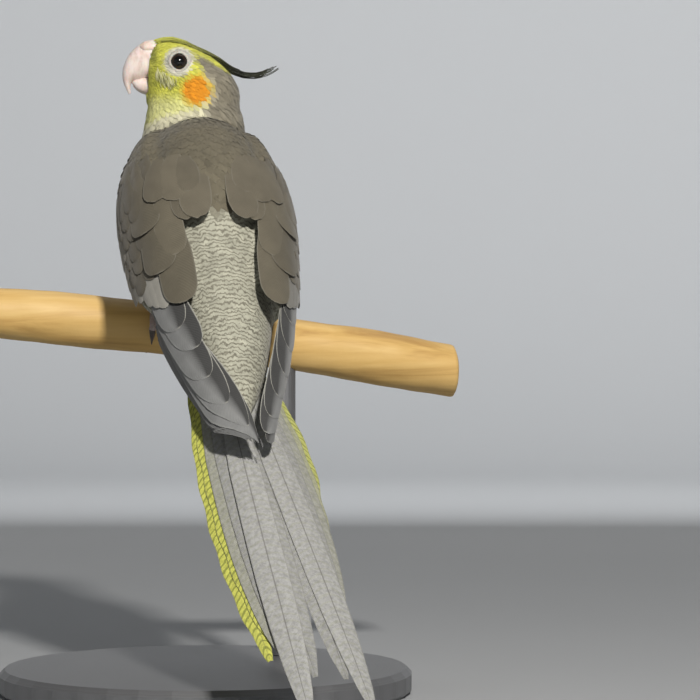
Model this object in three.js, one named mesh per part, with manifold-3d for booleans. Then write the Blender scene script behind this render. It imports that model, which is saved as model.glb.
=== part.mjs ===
// A life-size cockatiel looking over its left shoulder, on a short cut branch held by a plain stand.
// Millimetres, +Z up. The bird faces +Y, and the origin is the middle of the base's underside.
import * as THREE from "three";
import { mergeVertices } from "three/addons/utils/BufferGeometryUtils.js";
import Module from "manifold-3d";

const wasm = await Module();
wasm.setup();

// Driving dimensions
const gap = 0.32; // clearance that neighbouring pieces keep
const bodyPitch = 45; // degrees that the back rises towards the head
const bodyCentre = [0, -35.5, 26.5]; // middle of the trunk, measured from the perch's middle
const perchRadius = 9.5;
const perchReach = [-92, 98]; // cut ends of the branch
const perchSlope = -0.115; // fall of the branch per millimetre to the right
const perchHeight = 126;
const perchForward = 30; // from the base's middle to the branch
const baseRadius = 72;
const baseThick = 9;
const rodRadius = 4.5;
const rodSide = 33;
const headCentre = [-2.2, 14.4, 97.6]; // between the eyes, measured from the perch's middle
const headTurn = 78; // degrees that the face is turned to the bird's left
const eyeRadius = 3.1;
const tailTurn = -7; // degrees that the tail swings to the right

// Trunk and folded-wing sections along the body: place, half width, back and belly
const trunkShape = [
  [-90, 1.4, 8.4, 6],
  [-78, 7, 11, 0],
  [-62, 13, 14.5, -11],
  [-40, 18.5, 19.5, -22],
  [-14, 22.5, 24, -29],
  [10, 24, 29, -31.5],
  [30, 23.5, 29, -33],
  [45, 19.5, 24.5, -28.5],
  [57, 11, 15, -17],
];
const wingShape = [
  [-112, 6, 12, 5],
  [-104, 7.5, 12.8, 3.5],
  [-86, 11.5, 15.3, -1],
  [-62, 18, 18.8, -11],
  [-38, 23.3, 22.8, -20],
  [-12, 26.4, 26.6, -25],
  [10, 27.6, 29.6, -26],
  [28, 26.8, 29.4, -23],
  [42, 23, 26.4, -16],
  [50, 17.5, 21, -8],
];

const radians = THREE.MathUtils.degToRad;
const mix = THREE.MathUtils.lerp;
const at = (x, y, z) => new THREE.Vector3(x, y, z);

// Reads a table of stations at a place, along a smooth curve through its rows.
function readStations(table, place) {
  const last = table.length - 1;
  const p = THREE.MathUtils.clamp(place, table[0][0], table[last][0]);
  let k = 0;
  while (k < last - 1 && p > table[k + 1][0]) k++;
  const [a, b] = [table[k], table[k + 1]];
  const [before, after] = [table[Math.max(k - 1, 0)], table[Math.min(k + 2, last)]];
  const span = b[0] - a[0];
  const t = (p - a[0]) / span;
  return a.slice(1).map((value, i) => {
    const m0 = ((b[i + 1] - before[i + 1]) / (b[0] - before[0])) * span;
    const m1 = ((after[i + 1] - value) / (after[0] - a[0])) * span;
    const t2 = t * t;
    const t3 = t2 * t;
    return (2 * t3 - 3 * t2 + 1) * value + (t3 - 2 * t2 + t) * m0
      + (3 * t2 - 2 * t3) * b[i + 1] + (t3 - t2) * m1;
  });
}

// A point on a body-like form: place along the body, angle down from the back's middle, and lift off it.
function onForm(table, place, angle, lift = 0) {
  const [half, back, belly] = readStations(table, place);
  const middle = (back + belly) / 2;
  const high = (back - belly) / 2;
  const [sin, cos] = [Math.sin(angle), Math.cos(angle)];
  const normal = at(sin / half, 0, cos / high).normalize();
  return at(half * sin, place, middle + high * cos).addScaledVector(normal, lift);
}

// Moves a point near such a form onto it.
function drape(table, point, lift) {
  const [half, back, belly] = readStations(table, point.y);
  const middle = (back + belly) / 2;
  const high = (back - belly) / 2;
  return onForm(table, point.y, Math.atan2(point.x / half, (point.z - middle) / high), lift);
}

// Turns points and triangles into a closed solid that faces out.
function solidFrom(points, triangles) {
  const flat = new Float32Array(points.flatMap((p) => [p.x, p.y, p.z]));
  const geometry = new THREE.BufferGeometry()
    .setAttribute("position", new THREE.BufferAttribute(flat, 3))
    .setIndex(triangles.flat());
  return solidOf(geometry);
}

function solidOf(geometry) {
  const plain = geometry.clone();
  plain.deleteAttribute("normal");
  plain.deleteAttribute("uv");
  const merged = mergeVertices(plain, 1e-4);
  const make = (triVerts) => new wasm.Manifold(
    new wasm.Mesh({ numProp: 3, vertProperties: merged.attributes.position.array, triVerts }),
  );
  const triVerts = new Uint32Array(merged.index.array);
  const made = make(triVerts);
  if (made.volume() > 0) return made;
  for (let i = 0; i < triVerts.length; i += 3)
    [triVerts[i + 1], triVerts[i + 2]] = [triVerts[i + 2], triVerts[i + 1]];
  return make(triVerts);
}

// Skins a row of rings, closing each end on its middle.
function loft(rings) {
  const count = rings[0].length;
  const points = rings.flat();
  const triangles = [];
  for (let r = 0; r < rings.length - 1; r++)
    for (let i = 0; i < count; i++) {
      const [a, b] = [r * count + i, r * count + ((i + 1) % count)];
      triangles.push([a, b, b + count], [a, b + count, a + count]);
    }
  for (const [start, turn] of [[0, 1], [(rings.length - 1) * count, -1]]) {
    const middle = at(0, 0, 0);
    for (let i = 0; i < count; i++) middle.addScaledVector(points[start + i], 1 / count);
    points.push(middle);
    for (let i = 0; i < count; i++) {
      const [a, b] = [start + i, start + ((i + 1) % count)];
      triangles.push(turn > 0 ? [b, a, points.length - 1] : [a, b, points.length - 1]);
    }
  }
  return solidFrom(points, triangles);
}

// A ring of points round a middle, on two half-axis vectors.
const ring = (middle, across, up, count) => Array.from({ length: count }, (_, i) => {
  const turn = (2 * Math.PI * i) / count;
  return middle.clone().addScaledVector(across, Math.sin(turn)).addScaledVector(up, Math.cos(turn));
});

// Rounded tube through points, its radius read at each.
function tube(path, radii, sides) {
  return loft(path.map((p, i) => {
    const along = path[Math.min(i + 1, path.length - 1)].clone().sub(path[Math.max(i - 1, 0)]).normalize();
    const reference = Math.abs(along.x) > 0.8 ? at(0, 0, 1) : at(1, 0, 0);
    const across = reference.cross(along).normalize();
    const up = along.clone().cross(across);
    return ring(p, across.multiplyScalar(radii[i]), up.multiplyScalar(radii[i]), sides);
  }));
}

// A plate between an upper and a lower grid of points, each rows by columns, split alike on both faces.
function plate(upper, lower) {
  const [rows, columns] = [upper.length, upper[0].length];
  const points = [...upper.flat(), ...lower.flat()];
  const under = rows * columns;
  const triangles = [];
  const cell = (r, c) => r * columns + c;
  for (let r = 0; r < rows - 1; r++)
    for (let c = 0; c < columns - 1; c++) {
      const [a, b, d, e] = [cell(r, c), cell(r, c + 1), cell(r + 1, c), cell(r + 1, c + 1)];
      triangles.push([a, b, e], [a, e, d]);
      triangles.push([a + under, e + under, b + under], [a + under, d + under, e + under]);
    }
  const rim = [];
  for (let c = 0; c < columns - 1; c++) rim.push(cell(0, c));
  for (let r = 0; r < rows - 1; r++) rim.push(cell(r, columns - 1));
  for (let c = columns - 1; c > 0; c--) rim.push(cell(rows - 1, c));
  for (let r = rows - 1; r > 0; r--) rim.push(cell(r, 0));
  rim.forEach((a, i) => {
    const b = rim[(i + 1) % rim.length];
    triangles.push([b, a, a + under], [b, a + under, b + under]);
  });
  return solidFrom(points, triangles);
}

// How wide a vane is along its length, as shares of its widest: a slim root and a rounded tip.
const vaneRows = [[0, 0.5], [0.45, 0.95], [0.85, 0.92], [1, 0.36]];
const vaneThick = 0.8;

// How far the layers of a wing stand off the body: less towards the wing's lower edge.
function settle(spot) {
  const angle = Math.abs(Math.atan2(spot.x, spot.z));
  return 1 - 0.55 * THREE.MathUtils.smoothstep(angle, 1.35, 2.1);
}

// One flight feather or covert, laid on a form. Its lean tucks the edge nearest the back under the next one.
function vane(table, { root, tip, width, lift, rise = 0.5, lean = -0.3, bow = 0, side = 1 }) {
  const upper = [];
  const lower = [];
  const centreAt = (t) => onForm(table, mix(root[0], tip[0], t),
    side * radians(mix(root[1], tip[1], t) + bow * Math.sin(Math.PI * t)));
  for (const [t, share] of vaneRows) {
    const centre = centreAt(t);
    const along = centreAt(Math.min(t + 0.02, 1.02)).sub(centreAt(t - 0.02)).normalize();
    const out = drape(table, centre, 1).sub(drape(table, centre, 0));
    const across = along.clone().cross(out).normalize().multiplyScalar(side);
    const rows = [-1, 0, 1].map((j) => {
      const spot = centre.clone().addScaledVector(across, (j * width * share) / 2);
      const height = (lift + rise * t) * settle(spot) + lean * j + 0.25 * (1 - j * j);
      const thick = vaneThick * (j ? 0.75 : 1);
      return [drape(table, spot, height), drape(table, spot, height - thick)];
    });
    upper.push(rows.map((pair) => pair[0]));
    lower.push(rows.map((pair) => pair[1]));
  }
  return plate(upper, lower);
}

// Joins solids into one, and keeps only its largest closed surface.
function fuse(solids) {
  return largest(wasm.Manifold.union(solids).simplify(0.06));
}

function largest(solid) {
  return solid.decompose().reduce((best, one) => (one.volume() > best.volume() ? one : best));
}

// A form lofted from its table, swollen by a margin for cutting clearances.
function formSolid(table, sides, steps, swell = 0) {
  const [low, high] = [table[0][0], table[table.length - 1][0]];
  return loft(Array.from({ length: steps + 1 }, (_, k) => {
    const place = mix(low, high, k / steps);
    const shift = k === 0 ? -swell : k === steps ? swell : 0;
    return Array.from({ length: sides }, (_, i) => {
      const p = onForm(table, place, (2 * Math.PI * i) / sides, swell);
      return p.setY(place + shift);
    });
  }));
}

// Placement of the trunk and of the head in the perch's frame
const bodyFrame = new THREE.Matrix4().makeRotationX(radians(bodyPitch)).setPosition(...bodyCentre);
const headFrame = new THREE.Matrix4().makeRotationZ(radians(headTurn)).setPosition(...headCentre);
const placed = (solid, matrix) => solid.transform(matrix.elements);

// Head, in its own frame: +Y towards the beak, +Z up, eyes at the middle's height
const headShape = [
  [-21.8, 3.5, -9, -15.5],
  [-20, 7.8, -5.2, -17.5],
  [-15.5, 11, 0, -19],
  [-9, 12.6, 4.8, -19.5],
  [-2, 13, 8.4, -19.5],
  [4, 12, 9.9, -19],
  [9, 9.6, 9.5, -17],
  [12.2, 7, 7.8, -13.5],
];
const eyeSpot = (side) => at(side * 10.6, 0, 0);
const headSolid = (swell) => formSolid(headShape, 22, 11, swell);

// Upper beak with its cere, the fleshy band that holds the nostrils
function makeUpperBeak() {
  const nostrils = [-1, 1].map((side) => placed(solidOf(new THREE.SphereGeometry(0.9, 6, 5)),
    new THREE.Matrix4().setPosition(side * 3.9, 12.3, 8.2)));
  return largest(nostrils.reduce((beak, one) => beak.subtract(one), beakUpper(0).add(cereForm(0))));
}

function makeHead() {
  let head = headSolid(0);
  for (const side of [-1, 1]) {
    const lid = solidOf(new THREE.TorusGeometry(eyeRadius + 0.25, 0.75, 6, 16));
    const turn = new THREE.Matrix4().makeRotationY(Math.PI / 2).setPosition(side * 11.9, 0, 0);
    head = head.add(placed(lid, turn));
    head = head.subtract(eyeBall(side, eyeRadius + gap));
  }
  return largest(head.subtract(cereForm(gap)).subtract(beakUpper(gap)).subtract(beakLower(gap)));
}

function eyeBall(side, radius) {
  const ball = solidOf(new THREE.SphereGeometry(radius, 14, 8));
  const spot = eyeSpot(side);
  return placed(ball, new THREE.Matrix4().setPosition(spot.x, spot.y, spot.z));
}

// A beak half: outer and inner outline points seen from the side, and half widths.
function beakHalf(outline, swell) {
  return loft(outline.map(([y0, z0, y1, z1, half]) => {
    const middle = at(0, (y0 + y1) / 2, (z0 + z1) / 2);
    const up = at(0, (y0 - y1) / 2, (z0 - z1) / 2);
    up.multiplyScalar(1 + swell / up.length());
    return ring(middle, at(half + swell, 0, 0), up, 14);
  }));
}
const cereForm = (swell) => loft(
  [[8.2 - swell, 9, 4.4, 5.2], [10.5, 9.5, 4.2, 5.9], [13, 8.9, 3.8, 5.5], [14.2 + swell, 7.8, 3.9, 4.5]].map(
    ([y, top, low, half]) => ring(at(0, y, (top + low) / 2), at(half + swell, 0, 0),
      at(0, 0, (top - low) / 2 + swell), 10)));
const beakUpper = (swell) => beakHalf([
  [7.5, 8, 7.5, -4.2, 5.4],
  [11.5, 8.8, 11.2, -4.9, 5.6],
  [15.4, 7.1, 13.6, -5.3, 5.1],
  [18.9, 3.7, 15.6, -5.6, 4.3],
  [21.0, -0.8, 17.2, -5.9, 3.4],
  [21.3, -5, 18.2, -6.9, 2.3],
  [20.3, -8.4, 18.4, -8.6, 1.4],
  [19, -10.6, 18.2, -10.2, 0.6],
], swell);
const beakLower = (swell) => beakHalf([
  [7.5, -4.6, 8.5, -11.8, 4.2],
  [11.5, -5, 11.2, -12.4, 4.7],
  [14.8, -5.4, 13.9, -12, 4.1],
  [17.8, -6.6, 16.4, -10.6, 2.9],
], swell);

// Crest feathers, root near the forehead, lying back over the crown and curling up at the tips
const crestCount = 8;
const crestLine = [
  [-35.5, -0.8],
  [-31, -3.9],
  [-26, -4.4],
  [-20, -2.2],
  [-14, 1.8],
  [-8, 6],
  [0, 10.1],
  [8, 10.4],
];
function crestFeather(k) {
  const share = k / (crestCount - 1);
  const side = (k % 2 ? 1 : -1) * 0.6 * (1 + (k % 3));
  const start = mix(8, -6, share);
  const length = mix(27, 30, share) - (k % 3) * 3.2;
  const rows = [0, 0.2, 0.4, 0.6, 0.8, 1].map((t) => {
    const y = start - length * t;
    const z = readStations(crestLine, y)[0] + 0.9 * share;
    const half = mix(2.3, 0.5, t * t);
    const x = side * (1 - 0.5 * t) + (k - 4) * 0.32;
    return [[-half, 0], [0, 0.5], [half, 0]].map(([dx, dz]) => [at(x + dx, y, z + dz), 0.9 - 0.3 * t]);
  });
  return plate(rows.map((row) => row.map(([p]) => p)),
    rows.map((row) => row.map(([p, thick]) => p.clone().setZ(p.z - thick))));
}
function makeCrest() {
  const feathers = Array.from({ length: crestCount }, (_, k) => crestFeather(k));
  const bed = formSolid([[-17, 2, 0.6, -2], [-8, 3.6, 6.6, 3], [1, 3.8, 10.4, 6.5], [6, 2.2, 10.4, 7.5]], 12, 5);
  return largest(fuse([bed, ...feathers]).subtract(headSolid(gap)));
}

// Neck: upright rings between the trunk's front and the head
function neckSolid(swell) {
  const rows = [[0, -4, 40, 17, 17], [0, -2, 50, 20.5, 20], [0.3, 1, 60, 21.5, 20.5], [1.4, 6, 70, 20.2, 18.5],
    [2.2, 10.5, 79, 18.4, 15.5], [1.6, 13, 87, 15.5, 11.5]];
  return loft(rows.map(([x, y, z, half, deep]) =>
    ring(at(x, y, z), at(half + swell, 0, 0), at(0, deep + swell, 0), 24)));
}

// Wing feathers by tier, from the lowest up. Angles are degrees down from the back's middle.
function wingFeathers(side) {
  const list = [];
  const tier = (count, make) => {
    for (let k = 0; k < count; k++) list.push(vane(wingShape, { side, ...make(k, k / (count - 1)) }));
  };
  tier(6, (k, t) => ({ root: [mix(-46, -40, t), mix(88, 78, t)], tip: [mix(-94, -107, t), mix(60, 22, t)],
    width: 9, lift: -0.6 + 0.22 * k, bow: 4 }));
  tier(6, (k, t) => ({ root: [mix(-24, 0, t), mix(66, 56, t)], tip: [mix(-97, -56, t), mix(30, 60, t)],
    width: mix(12, 14, t), lift: 1 + 0.22 * k, bow: -4, rise: 0.4 }));
  tier(4, (k, t) => ({ root: [mix(-6, 10, t), mix(100, 60, t)], tip: [mix(-50, -52, t), mix(86, 58, t)],
    width: 13, lift: 2.5 + 0.15 * k, rise: 0.2 }));
  tier(4, (k, t) => ({ root: [10, mix(100, 48, t)], tip: [mix(-26, -41, t), mix(100, 46, t)],
    width: 15, lift: 3.2 + 0.15 * k, rise: 0.1 }));
  tier(3, (k, t) => ({ root: [24, mix(86, 42, t)], tip: [mix(-4, -25, t), mix(88, 40, t)],
    width: 16, lift: 3.9 + 0.15 * k, rise: 0 }));
  tier(3, (k, t) => ({ root: [28, mix(44, 24, t)], tip: [mix(-22, -15, t), mix(34, 15, t)],
    width: 12, lift: 4.5 + 0.2 * k, rise: -0.8 }));
  return list;
}

// The covert bed under the tiers: a curved panel from the shoulder back along the trunk.
function wingBed(side) {
  const places = [49, 43, 34, 20, 2, -18, -38, -54];
  const edges = (p) => [mix(40, 20, (p + 54) / 100), mix(84, 122, Math.min((p + 54) / 50, 1))];
  const grid = (lift) => places.map((p, i) => Array.from({ length: 9 }, (_, c) => {
    const [low, high] = edges(p);
    const rim = c === 0 || c === 8 || i === 0 || i === places.length - 1 ? 0.35 : 1;
    const flat = onForm(wingShape, p, side * radians(mix(low, high, c / 8)));
    return drape(wingShape, flat, lift * rim * settle(flat));
  }));
  return plate(grid(3.2), grid(-2.4));
}

function makeWing(side, cuts) {
  const wing = placed(fuse([wingBed(side), ...wingFeathers(side)]), bodyFrame);
  return largest(cuts.reduce((left, cut) => left.subtract(cut), wing));
}

// Tail, in its own frame: +Y forward, root at the origin, feathers laid back and a little fanned
const tailRoot = [0, -58, 3];
const tailFrame = new THREE.Matrix4().makeRotationZ(radians(-tailTurn)).setPosition(...tailRoot);
const tailPairs = [
  { left: 146, right: 146, root: 2.2, tip: 10, width: 10.5 },
  { left: 130, right: 132, root: 3, tip: 4.6, width: 11 },
  { left: 123, right: 120, root: 6.2, tip: 9, width: 10.5 },
  { left: 117, right: 104, root: 8.2, tip: 12, width: 10 },
  { left: 113, right: 84, root: 10, tip: 13, width: 9.5 },
  { left: 118, right: 64, root: 11.5, tip: 15, width: 8.5 },
];
const tailRows = [[0, 0.5], [0.3, 0.95], [0.62, 1], [0.85, 0.72], [1, 0.2]];
function tailFeather(pair, rank, side) {
  const drop = 0.62 * rank + (side > 0 ? 0.31 : 0);
  const surface = (x, y) => -0.014 * x * x - 0.00004 * y * y;
  const rows = tailRows.map(([t, share]) => [-1, 0, 1].map((j) => {
    const y = -(side > 0 ? pair.right : pair.left) * t;
    const spread = mix(pair.root, pair.tip, t ** 0.7) + 0.5 * rank * Math.sin(Math.PI * t);
    const x = side * spread + (j * pair.width * share) / 2;
    const z = surface(x, y) - drop + 0.3 * (1 - j * j);
    return [at(x, y, z), at(x, y, z - (j ? 0.6 : 0.9))];
  }));
  return plate(rows.map((row) => row.map((p) => p[0])), rows.map((row) => row.map((p) => p[1])));
}
function makeTail(trunkCut) {
  const feathers = tailPairs.flatMap((pair, rank) => [-1, 1].map((side) => tailFeather(pair, rank, side)));
  const core = loft([[6, 6, 0.5], [-10, 10, 2], [-26, 10, 1.4], [-40, 8, 0.4]].map(([y, half, deep]) =>
    ring(at(0, y, -3), at(half, 0, 0), at(0, 0, deep + 1), 12)));
  return largest(placed(placed(fuse([core, ...feathers]), tailFrame), bodyFrame).subtract(trunkCut));
}

// Feather wedge that lies under the tail's root
function makeUndertail(trunkCut, tailCut) {
  const rows = [[2, 8.5, -13, 6], [-8, 8, -11.4, 5.2], [-22, 6.8, -9.2, 3.6], [-36, 4.6, -7.6, 2], [-46, 1.6, -7, 0.6]];
  const wedge = loft(rows.map(([y, half, z, deep]) => ring(at(0, y, z), at(half, 0, 0), at(0, 0, deep), 16)));
  return largest(placed(placed(wedge, tailFrame), bodyFrame).subtract(trunkCut).subtract(tailCut));
}

// Perch: a lightly bowed branch with knots, in the perch's frame
const perchSides = 16;
const perchMiddle = (x) => at(x, 0.0006 * x * x, perchSlope * x - 0.0003 * x * x);
function perchSolid(swell) {
  const steps = 20;
  return loft(Array.from({ length: steps + 1 }, (_, k) => {
    const x = mix(...perchReach, k / steps);
    const radius = perchRadius + 0.25 * Math.sin(x / 9) + 0.004 * x + swell;
    const end = k === 0 || k === steps ? swell * Math.sign(x) : 0;
    const middle = perchMiddle(x).setX(x + end);
    return Array.from({ length: perchSides }, (_, i) => {
      const turn = (2 * Math.PI * i) / perchSides;
      const knot = 1.4 * Math.exp(-(((x - 62) / 7) ** 2)) * Math.max(0, Math.cos(turn - 0.7));
      const r = radius + knot;
      return middle.clone().add(at(0, r * Math.sin(turn), r * Math.cos(turn)));
    });
  }));
}

// Feet: two toes forward and two back, bent round the branch, each ending in its own claw
const toeRadius = 1.7;
const footSide = 11.5;
const toes = [
  { name: "inner_front", shift: -2.4, from: 12, to: 112, splay: -1.6 },
  { name: "outer_front", shift: 2.2, from: 12, to: 122, splay: 2.4 },
  { name: "inner_back", shift: -2.0, from: -14, to: -78, splay: -2.0 },
  { name: "outer_back", shift: 2.6, from: -14, to: -100, splay: 2.2 },
];
function toePath(side, toe, from, to, steps, lift) {
  return Array.from({ length: steps + 1 }, (_, k) => {
    const t = k / steps;
    const turn = radians(mix(from, to, t));
    const x = side * (footSide + toe.shift + toe.splay * t);
    const around = perchRadius + 0.5 + lift;
    return perchMiddle(x).add(at(0, around * Math.sin(turn), around * Math.cos(turn)));
  });
}
function makeFoot(side, cuts) {
  const pieces = toes.map((toe) => {
    const path = toePath(side, toe, toe.from * 0.2, toe.to, 6, toeRadius);
    return tube(path, path.map((_, i) => toeRadius * (1.08 - 0.04 * i)), 7);
  });
  const ankle = perchMiddle(side * footSide);
  const shank = tube([at(0, -2.5, 19), at(0, -1, 14.5), at(0, 0, 10.6)].map((p) => p.add(ankle)), [2, 2.1, 2.9], 10);
  return largest(cuts.reduce((left, cut) => left.subtract(cut), fuse([shank, ...pieces])));
}
function makeClaw(side, toe, footCut, perchCut) {
  const turn = Math.sign(toe.to) * 34;
  const straight = { ...toe, shift: toe.shift + toe.splay, splay: toe.splay * 0.3 };
  const path = toePath(side, straight, toe.to, toe.to + turn, 3, toeRadius * 0.9);
  const claw = tube(path, [1.15, 1.05, 0.75, 0.28], 6);
  return largest(claw.subtract(footCut).subtract(perchCut));
}

// Thigh: the feathered upper leg between the belly and the shank
function legSolid(side, swell) {
  const x = side * footSide;
  const rows = [[-16, 30, 8.5, 9], [-9, 22, 7.4, 7.6], [-4.5, 16.8, 4.6, 4.6], [-3, 15, 2.9, 2.9]];
  return loft(rows.map(([y, z, half, deep]) =>
    ring(at(x, y, z + perchSlope * x), at(half + swell, 0, 0), at(0, (deep + swell) * 0.8, (deep + swell) * 0.6), 14)));
}

// Assembly in the perch's frame
const headCut = placed(headSolid(gap), headFrame);
const trunk = largest(placed(formSolid(trunkShape, 32, 18), bodyFrame).subtract(headCut));
const trunkCut = placed(formSolid(trunkShape, 32, 18, gap), bodyFrame);
const perch = perchSolid(0);
const perchCut = perchSolid(gap);
const tail = makeTail(trunkCut);
const neckCut = neckSolid(gap);
const beakCut = placed(beakLower(gap), headFrame);
const neck = largest(neckSolid(0).subtract(trunkCut).subtract(headCut).subtract(beakCut));

const parts = new THREE.Group();
parts.position.set(0, perchForward, perchHeight);
const whole = new THREE.Group();
whole.add(parts);

const colours = {
  back: 0x6f6757, rump: 0xb8b5a0, face: 0xc9c848, wing: 0x6c6658, tail: 0xa3a6a4, crest: 0x8f9440,
  beak: 0xe6d9d6, eye: 0x0a0808, foot: 0xa58f88, claw: 0x4c4541, wood: 0xc79a4f, stand: 0x3a3b3d,
};
function show(name, solid, colour, roughness = 0.8, group = parts) {
  const mesh = solid.getMesh();
  const count = mesh.numProp;
  const flat = new Float32Array(mesh.numVert * 3);
  for (let i = 0; i < mesh.numVert; i++) flat.set(mesh.vertProperties.subarray(i * count, i * count + 3), i * 3);
  const geometry = new THREE.BufferGeometry()
    .setAttribute("position", new THREE.BufferAttribute(flat, 3))
    .setIndex(new THREE.BufferAttribute(mesh.triVerts, 1));
  geometry.computeVertexNormals();
  const made = new THREE.Mesh(geometry, new THREE.MeshStandardMaterial({ color: colour, roughness, metalness: 0 }));
  made.name = name;
  group.add(made);
}

show("torso", trunk, colours.back);
show("head", placed(makeHead(), headFrame), colours.face);
show("neck", neck, colours.back);
show("crest", placed(makeCrest(), headFrame), colours.crest);
show("beak_upper", placed(makeUpperBeak(), headFrame), colours.beak, 0.4);
show("beak_lower", placed(largest(beakLower(0).subtract(beakUpper(gap))), headFrame), colours.beak, 0.4);
for (const [word, side] of [["left", -1], ["right", 1]]) {
  show(`eye_${word}`, placed(eyeBall(side, eyeRadius), headFrame), colours.eye, 0.1);
  const leg = largest(legSolid(side, 0).subtract(trunkCut));
  const foot = makeFoot(side, [perchCut, legSolid(side, gap), trunkCut]);
  show(`leg_${word}`, leg, colours.rump);
  show(`foot_${word}`, foot, colours.foot, 0.6);
  for (const toe of toes)
    show(`claw_${word}_${toe.name}`, makeClaw(side, toe, foot, perchCut), colours.claw, 0.4);
}
show("wing_right", makeWing(1, [trunkCut, headCut, neckCut]), colours.wing);
show("wing_left", makeWing(-1, [trunkCut, headCut, neckCut]), colours.wing);
show("tail", tail, colours.tail);
show("undertail", makeUndertail(trunkCut, tail), colours.rump);
show("perch", perch, colours.wood);

const rodTop = perchMiddle(rodSide).z;
const rod = solidOf(new THREE.CylinderGeometry(rodRadius, rodRadius, perchHeight + rodTop - baseThick - gap, 24))
  .transform(new THREE.Matrix4().makeRotationX(Math.PI / 2)
    .setPosition(rodSide, 0, (rodTop + baseThick + gap - perchHeight) / 2).elements);
show("stand_rod", largest(rod.subtract(perchCut)), colours.stand, 0.4);
const base = new THREE.LatheGeometry(
  [[0, 0], [baseRadius - 1.5, 0], [baseRadius, 1.5], [baseRadius, baseThick - 2], [baseRadius - 2, baseThick],
    [0, baseThick]].map(([x, y]) => new THREE.Vector2(x, y)), 40);
show("stand_base", placed(solidOf(base), new THREE.Matrix4().makeRotationX(Math.PI / 2)), colours.stand, 0.5, whole);

export default whole;
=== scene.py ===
# Dresses the cockatiel on its branch: one skin, a coat of feather vanes, beak, eyes, feet, wood and stand.
import math

import bmesh
import bpy
import numpy as np
from mathutils import Matrix, Vector
from mathutils.bvhtree import BVHTree


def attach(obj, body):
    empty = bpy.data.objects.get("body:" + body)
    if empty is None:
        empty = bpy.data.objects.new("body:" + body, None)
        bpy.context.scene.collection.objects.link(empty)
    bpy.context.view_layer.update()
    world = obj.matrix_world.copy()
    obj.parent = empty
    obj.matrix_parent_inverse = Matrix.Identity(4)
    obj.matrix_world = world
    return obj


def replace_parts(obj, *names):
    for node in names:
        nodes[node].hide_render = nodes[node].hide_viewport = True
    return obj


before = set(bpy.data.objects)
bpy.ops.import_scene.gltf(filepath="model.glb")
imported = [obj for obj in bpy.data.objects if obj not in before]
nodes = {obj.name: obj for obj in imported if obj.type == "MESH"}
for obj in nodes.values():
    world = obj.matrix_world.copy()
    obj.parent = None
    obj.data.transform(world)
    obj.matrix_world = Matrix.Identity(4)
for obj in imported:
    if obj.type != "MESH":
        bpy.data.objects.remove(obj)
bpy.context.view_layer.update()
scene = bpy.context.scene
rng = np.random.default_rng(7)
print("frame loaded:", len(nodes), "nodes")

# The bird's own frames, in millimetres as in the CAD source
mm = 0.001
perchMiddle = np.array([0.0, 30.0, 126.0])
bird = {
    "pitch": 45.0,  # how steeply the back rises towards the head
    "bodyCentre": (0.0, -35.5, 26.5),  # from the middle of the branch
    "headCentre": (-2.2, 14.4, 97.6),
    "headTurn": 78.0,  # the face looks over the left shoulder
    "tailRoot": (0.0, -58.0, 3.0),  # in the body's frame
    "tailTurn": -7.0,
}
trunkShape = [
    (-90, 1.4, 8.4, 6), (-78, 7, 11, 0), (-62, 13, 14.5, -11), (-40, 18.5, 19.5, -22), (-14, 22.5, 24, -29),
    (10, 24, 29, -31.5), (30, 23.5, 29, -33), (45, 19.5, 24.5, -28.5), (57, 11, 15, -17),
]  # place along the body, half width, back and belly
wingShape = [
    (-112, 6, 12, 5), (-104, 7.5, 12.8, 3.5), (-86, 11.5, 15.3, -1), (-62, 18, 18.8, -11),
    (-38, 23.3, 22.8, -20), (-12, 26.4, 26.6, -25), (10, 27.6, 29.6, -26), (28, 26.8, 29.4, -23),
    (42, 23, 26.4, -16), (50, 17.5, 21, -8),
]


def turned(degrees, axis):
    return np.array(Matrix.Rotation(math.radians(degrees), 3, axis))


bodyAxes, bodyPlace = turned(bird["pitch"], "X"), perchMiddle + bird["bodyCentre"]
headAxes, headPlace = turned(bird["headTurn"], "Z"), perchMiddle + bird["headCentre"]


def fromBody(points):
    return (np.asarray(points) @ bodyAxes.T + bodyPlace) * mm


def toBody(points):
    return (np.asarray(points) / mm - bodyPlace) @ bodyAxes


def fromHead(points):
    return (np.asarray(points) @ headAxes.T + headPlace) * mm


def toHead(points):
    return (np.asarray(points) / mm - headPlace) @ headAxes


def smooth(value, low, high):
    t = np.clip((np.asarray(value, float) - low) / (high - low), 0, 1)
    return t * t * (3 - 2 * t)


def mixed(a, b, t):
    return a + (b - a) * t


def blended(a, b, shares):  # two tones or ways mixed row by row
    return np.asarray(a) + (np.asarray(b) - np.asarray(a)) * shares[:, None]


def stack(x, y, z):
    return np.stack(np.broadcast_arrays(x, y, z), -1)


def unit(v):
    return v / np.maximum(np.linalg.norm(v, axis=-1, keepdims=True), 1e-12)


def alongSurface(way, normals):
    return unit(way - normals * (way * normals).sum(1)[:, None])

def vertexValues(piece, source="vertices", field="co"):
    flat = np.empty(len(piece.data.vertices) * 3, np.float32)
    getattr(piece.data, source).foreach_get(field, flat)
    return flat.reshape(-1, 3).astype(float)


def setValues(mesh, name, values):  # a number or a colour at every vertex
    kind, field = "FLOAT", "value"
    if values.ndim == 2:
        kind, field = "FLOAT_COLOR", "color"
        values = np.concatenate([values, np.ones((len(values), 1))], 1)
    mesh.attributes.new(name, kind, "POINT").data.foreach_set(field, values.astype(np.float32).ravel())


def smoothed(bm, name):  # the bmesh as a finished mesh, shaded smooth
    mesh = bpy.data.meshes.new(name)
    bm.to_mesh(mesh)
    bm.free()
    mesh.polygons.foreach_set("use_smooth", [True] * len(mesh.polygons))
    return mesh


def addObject(name, data):
    made = bpy.data.objects.new(name, data)
    scene.collection.objects.link(made)
    return made


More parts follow.
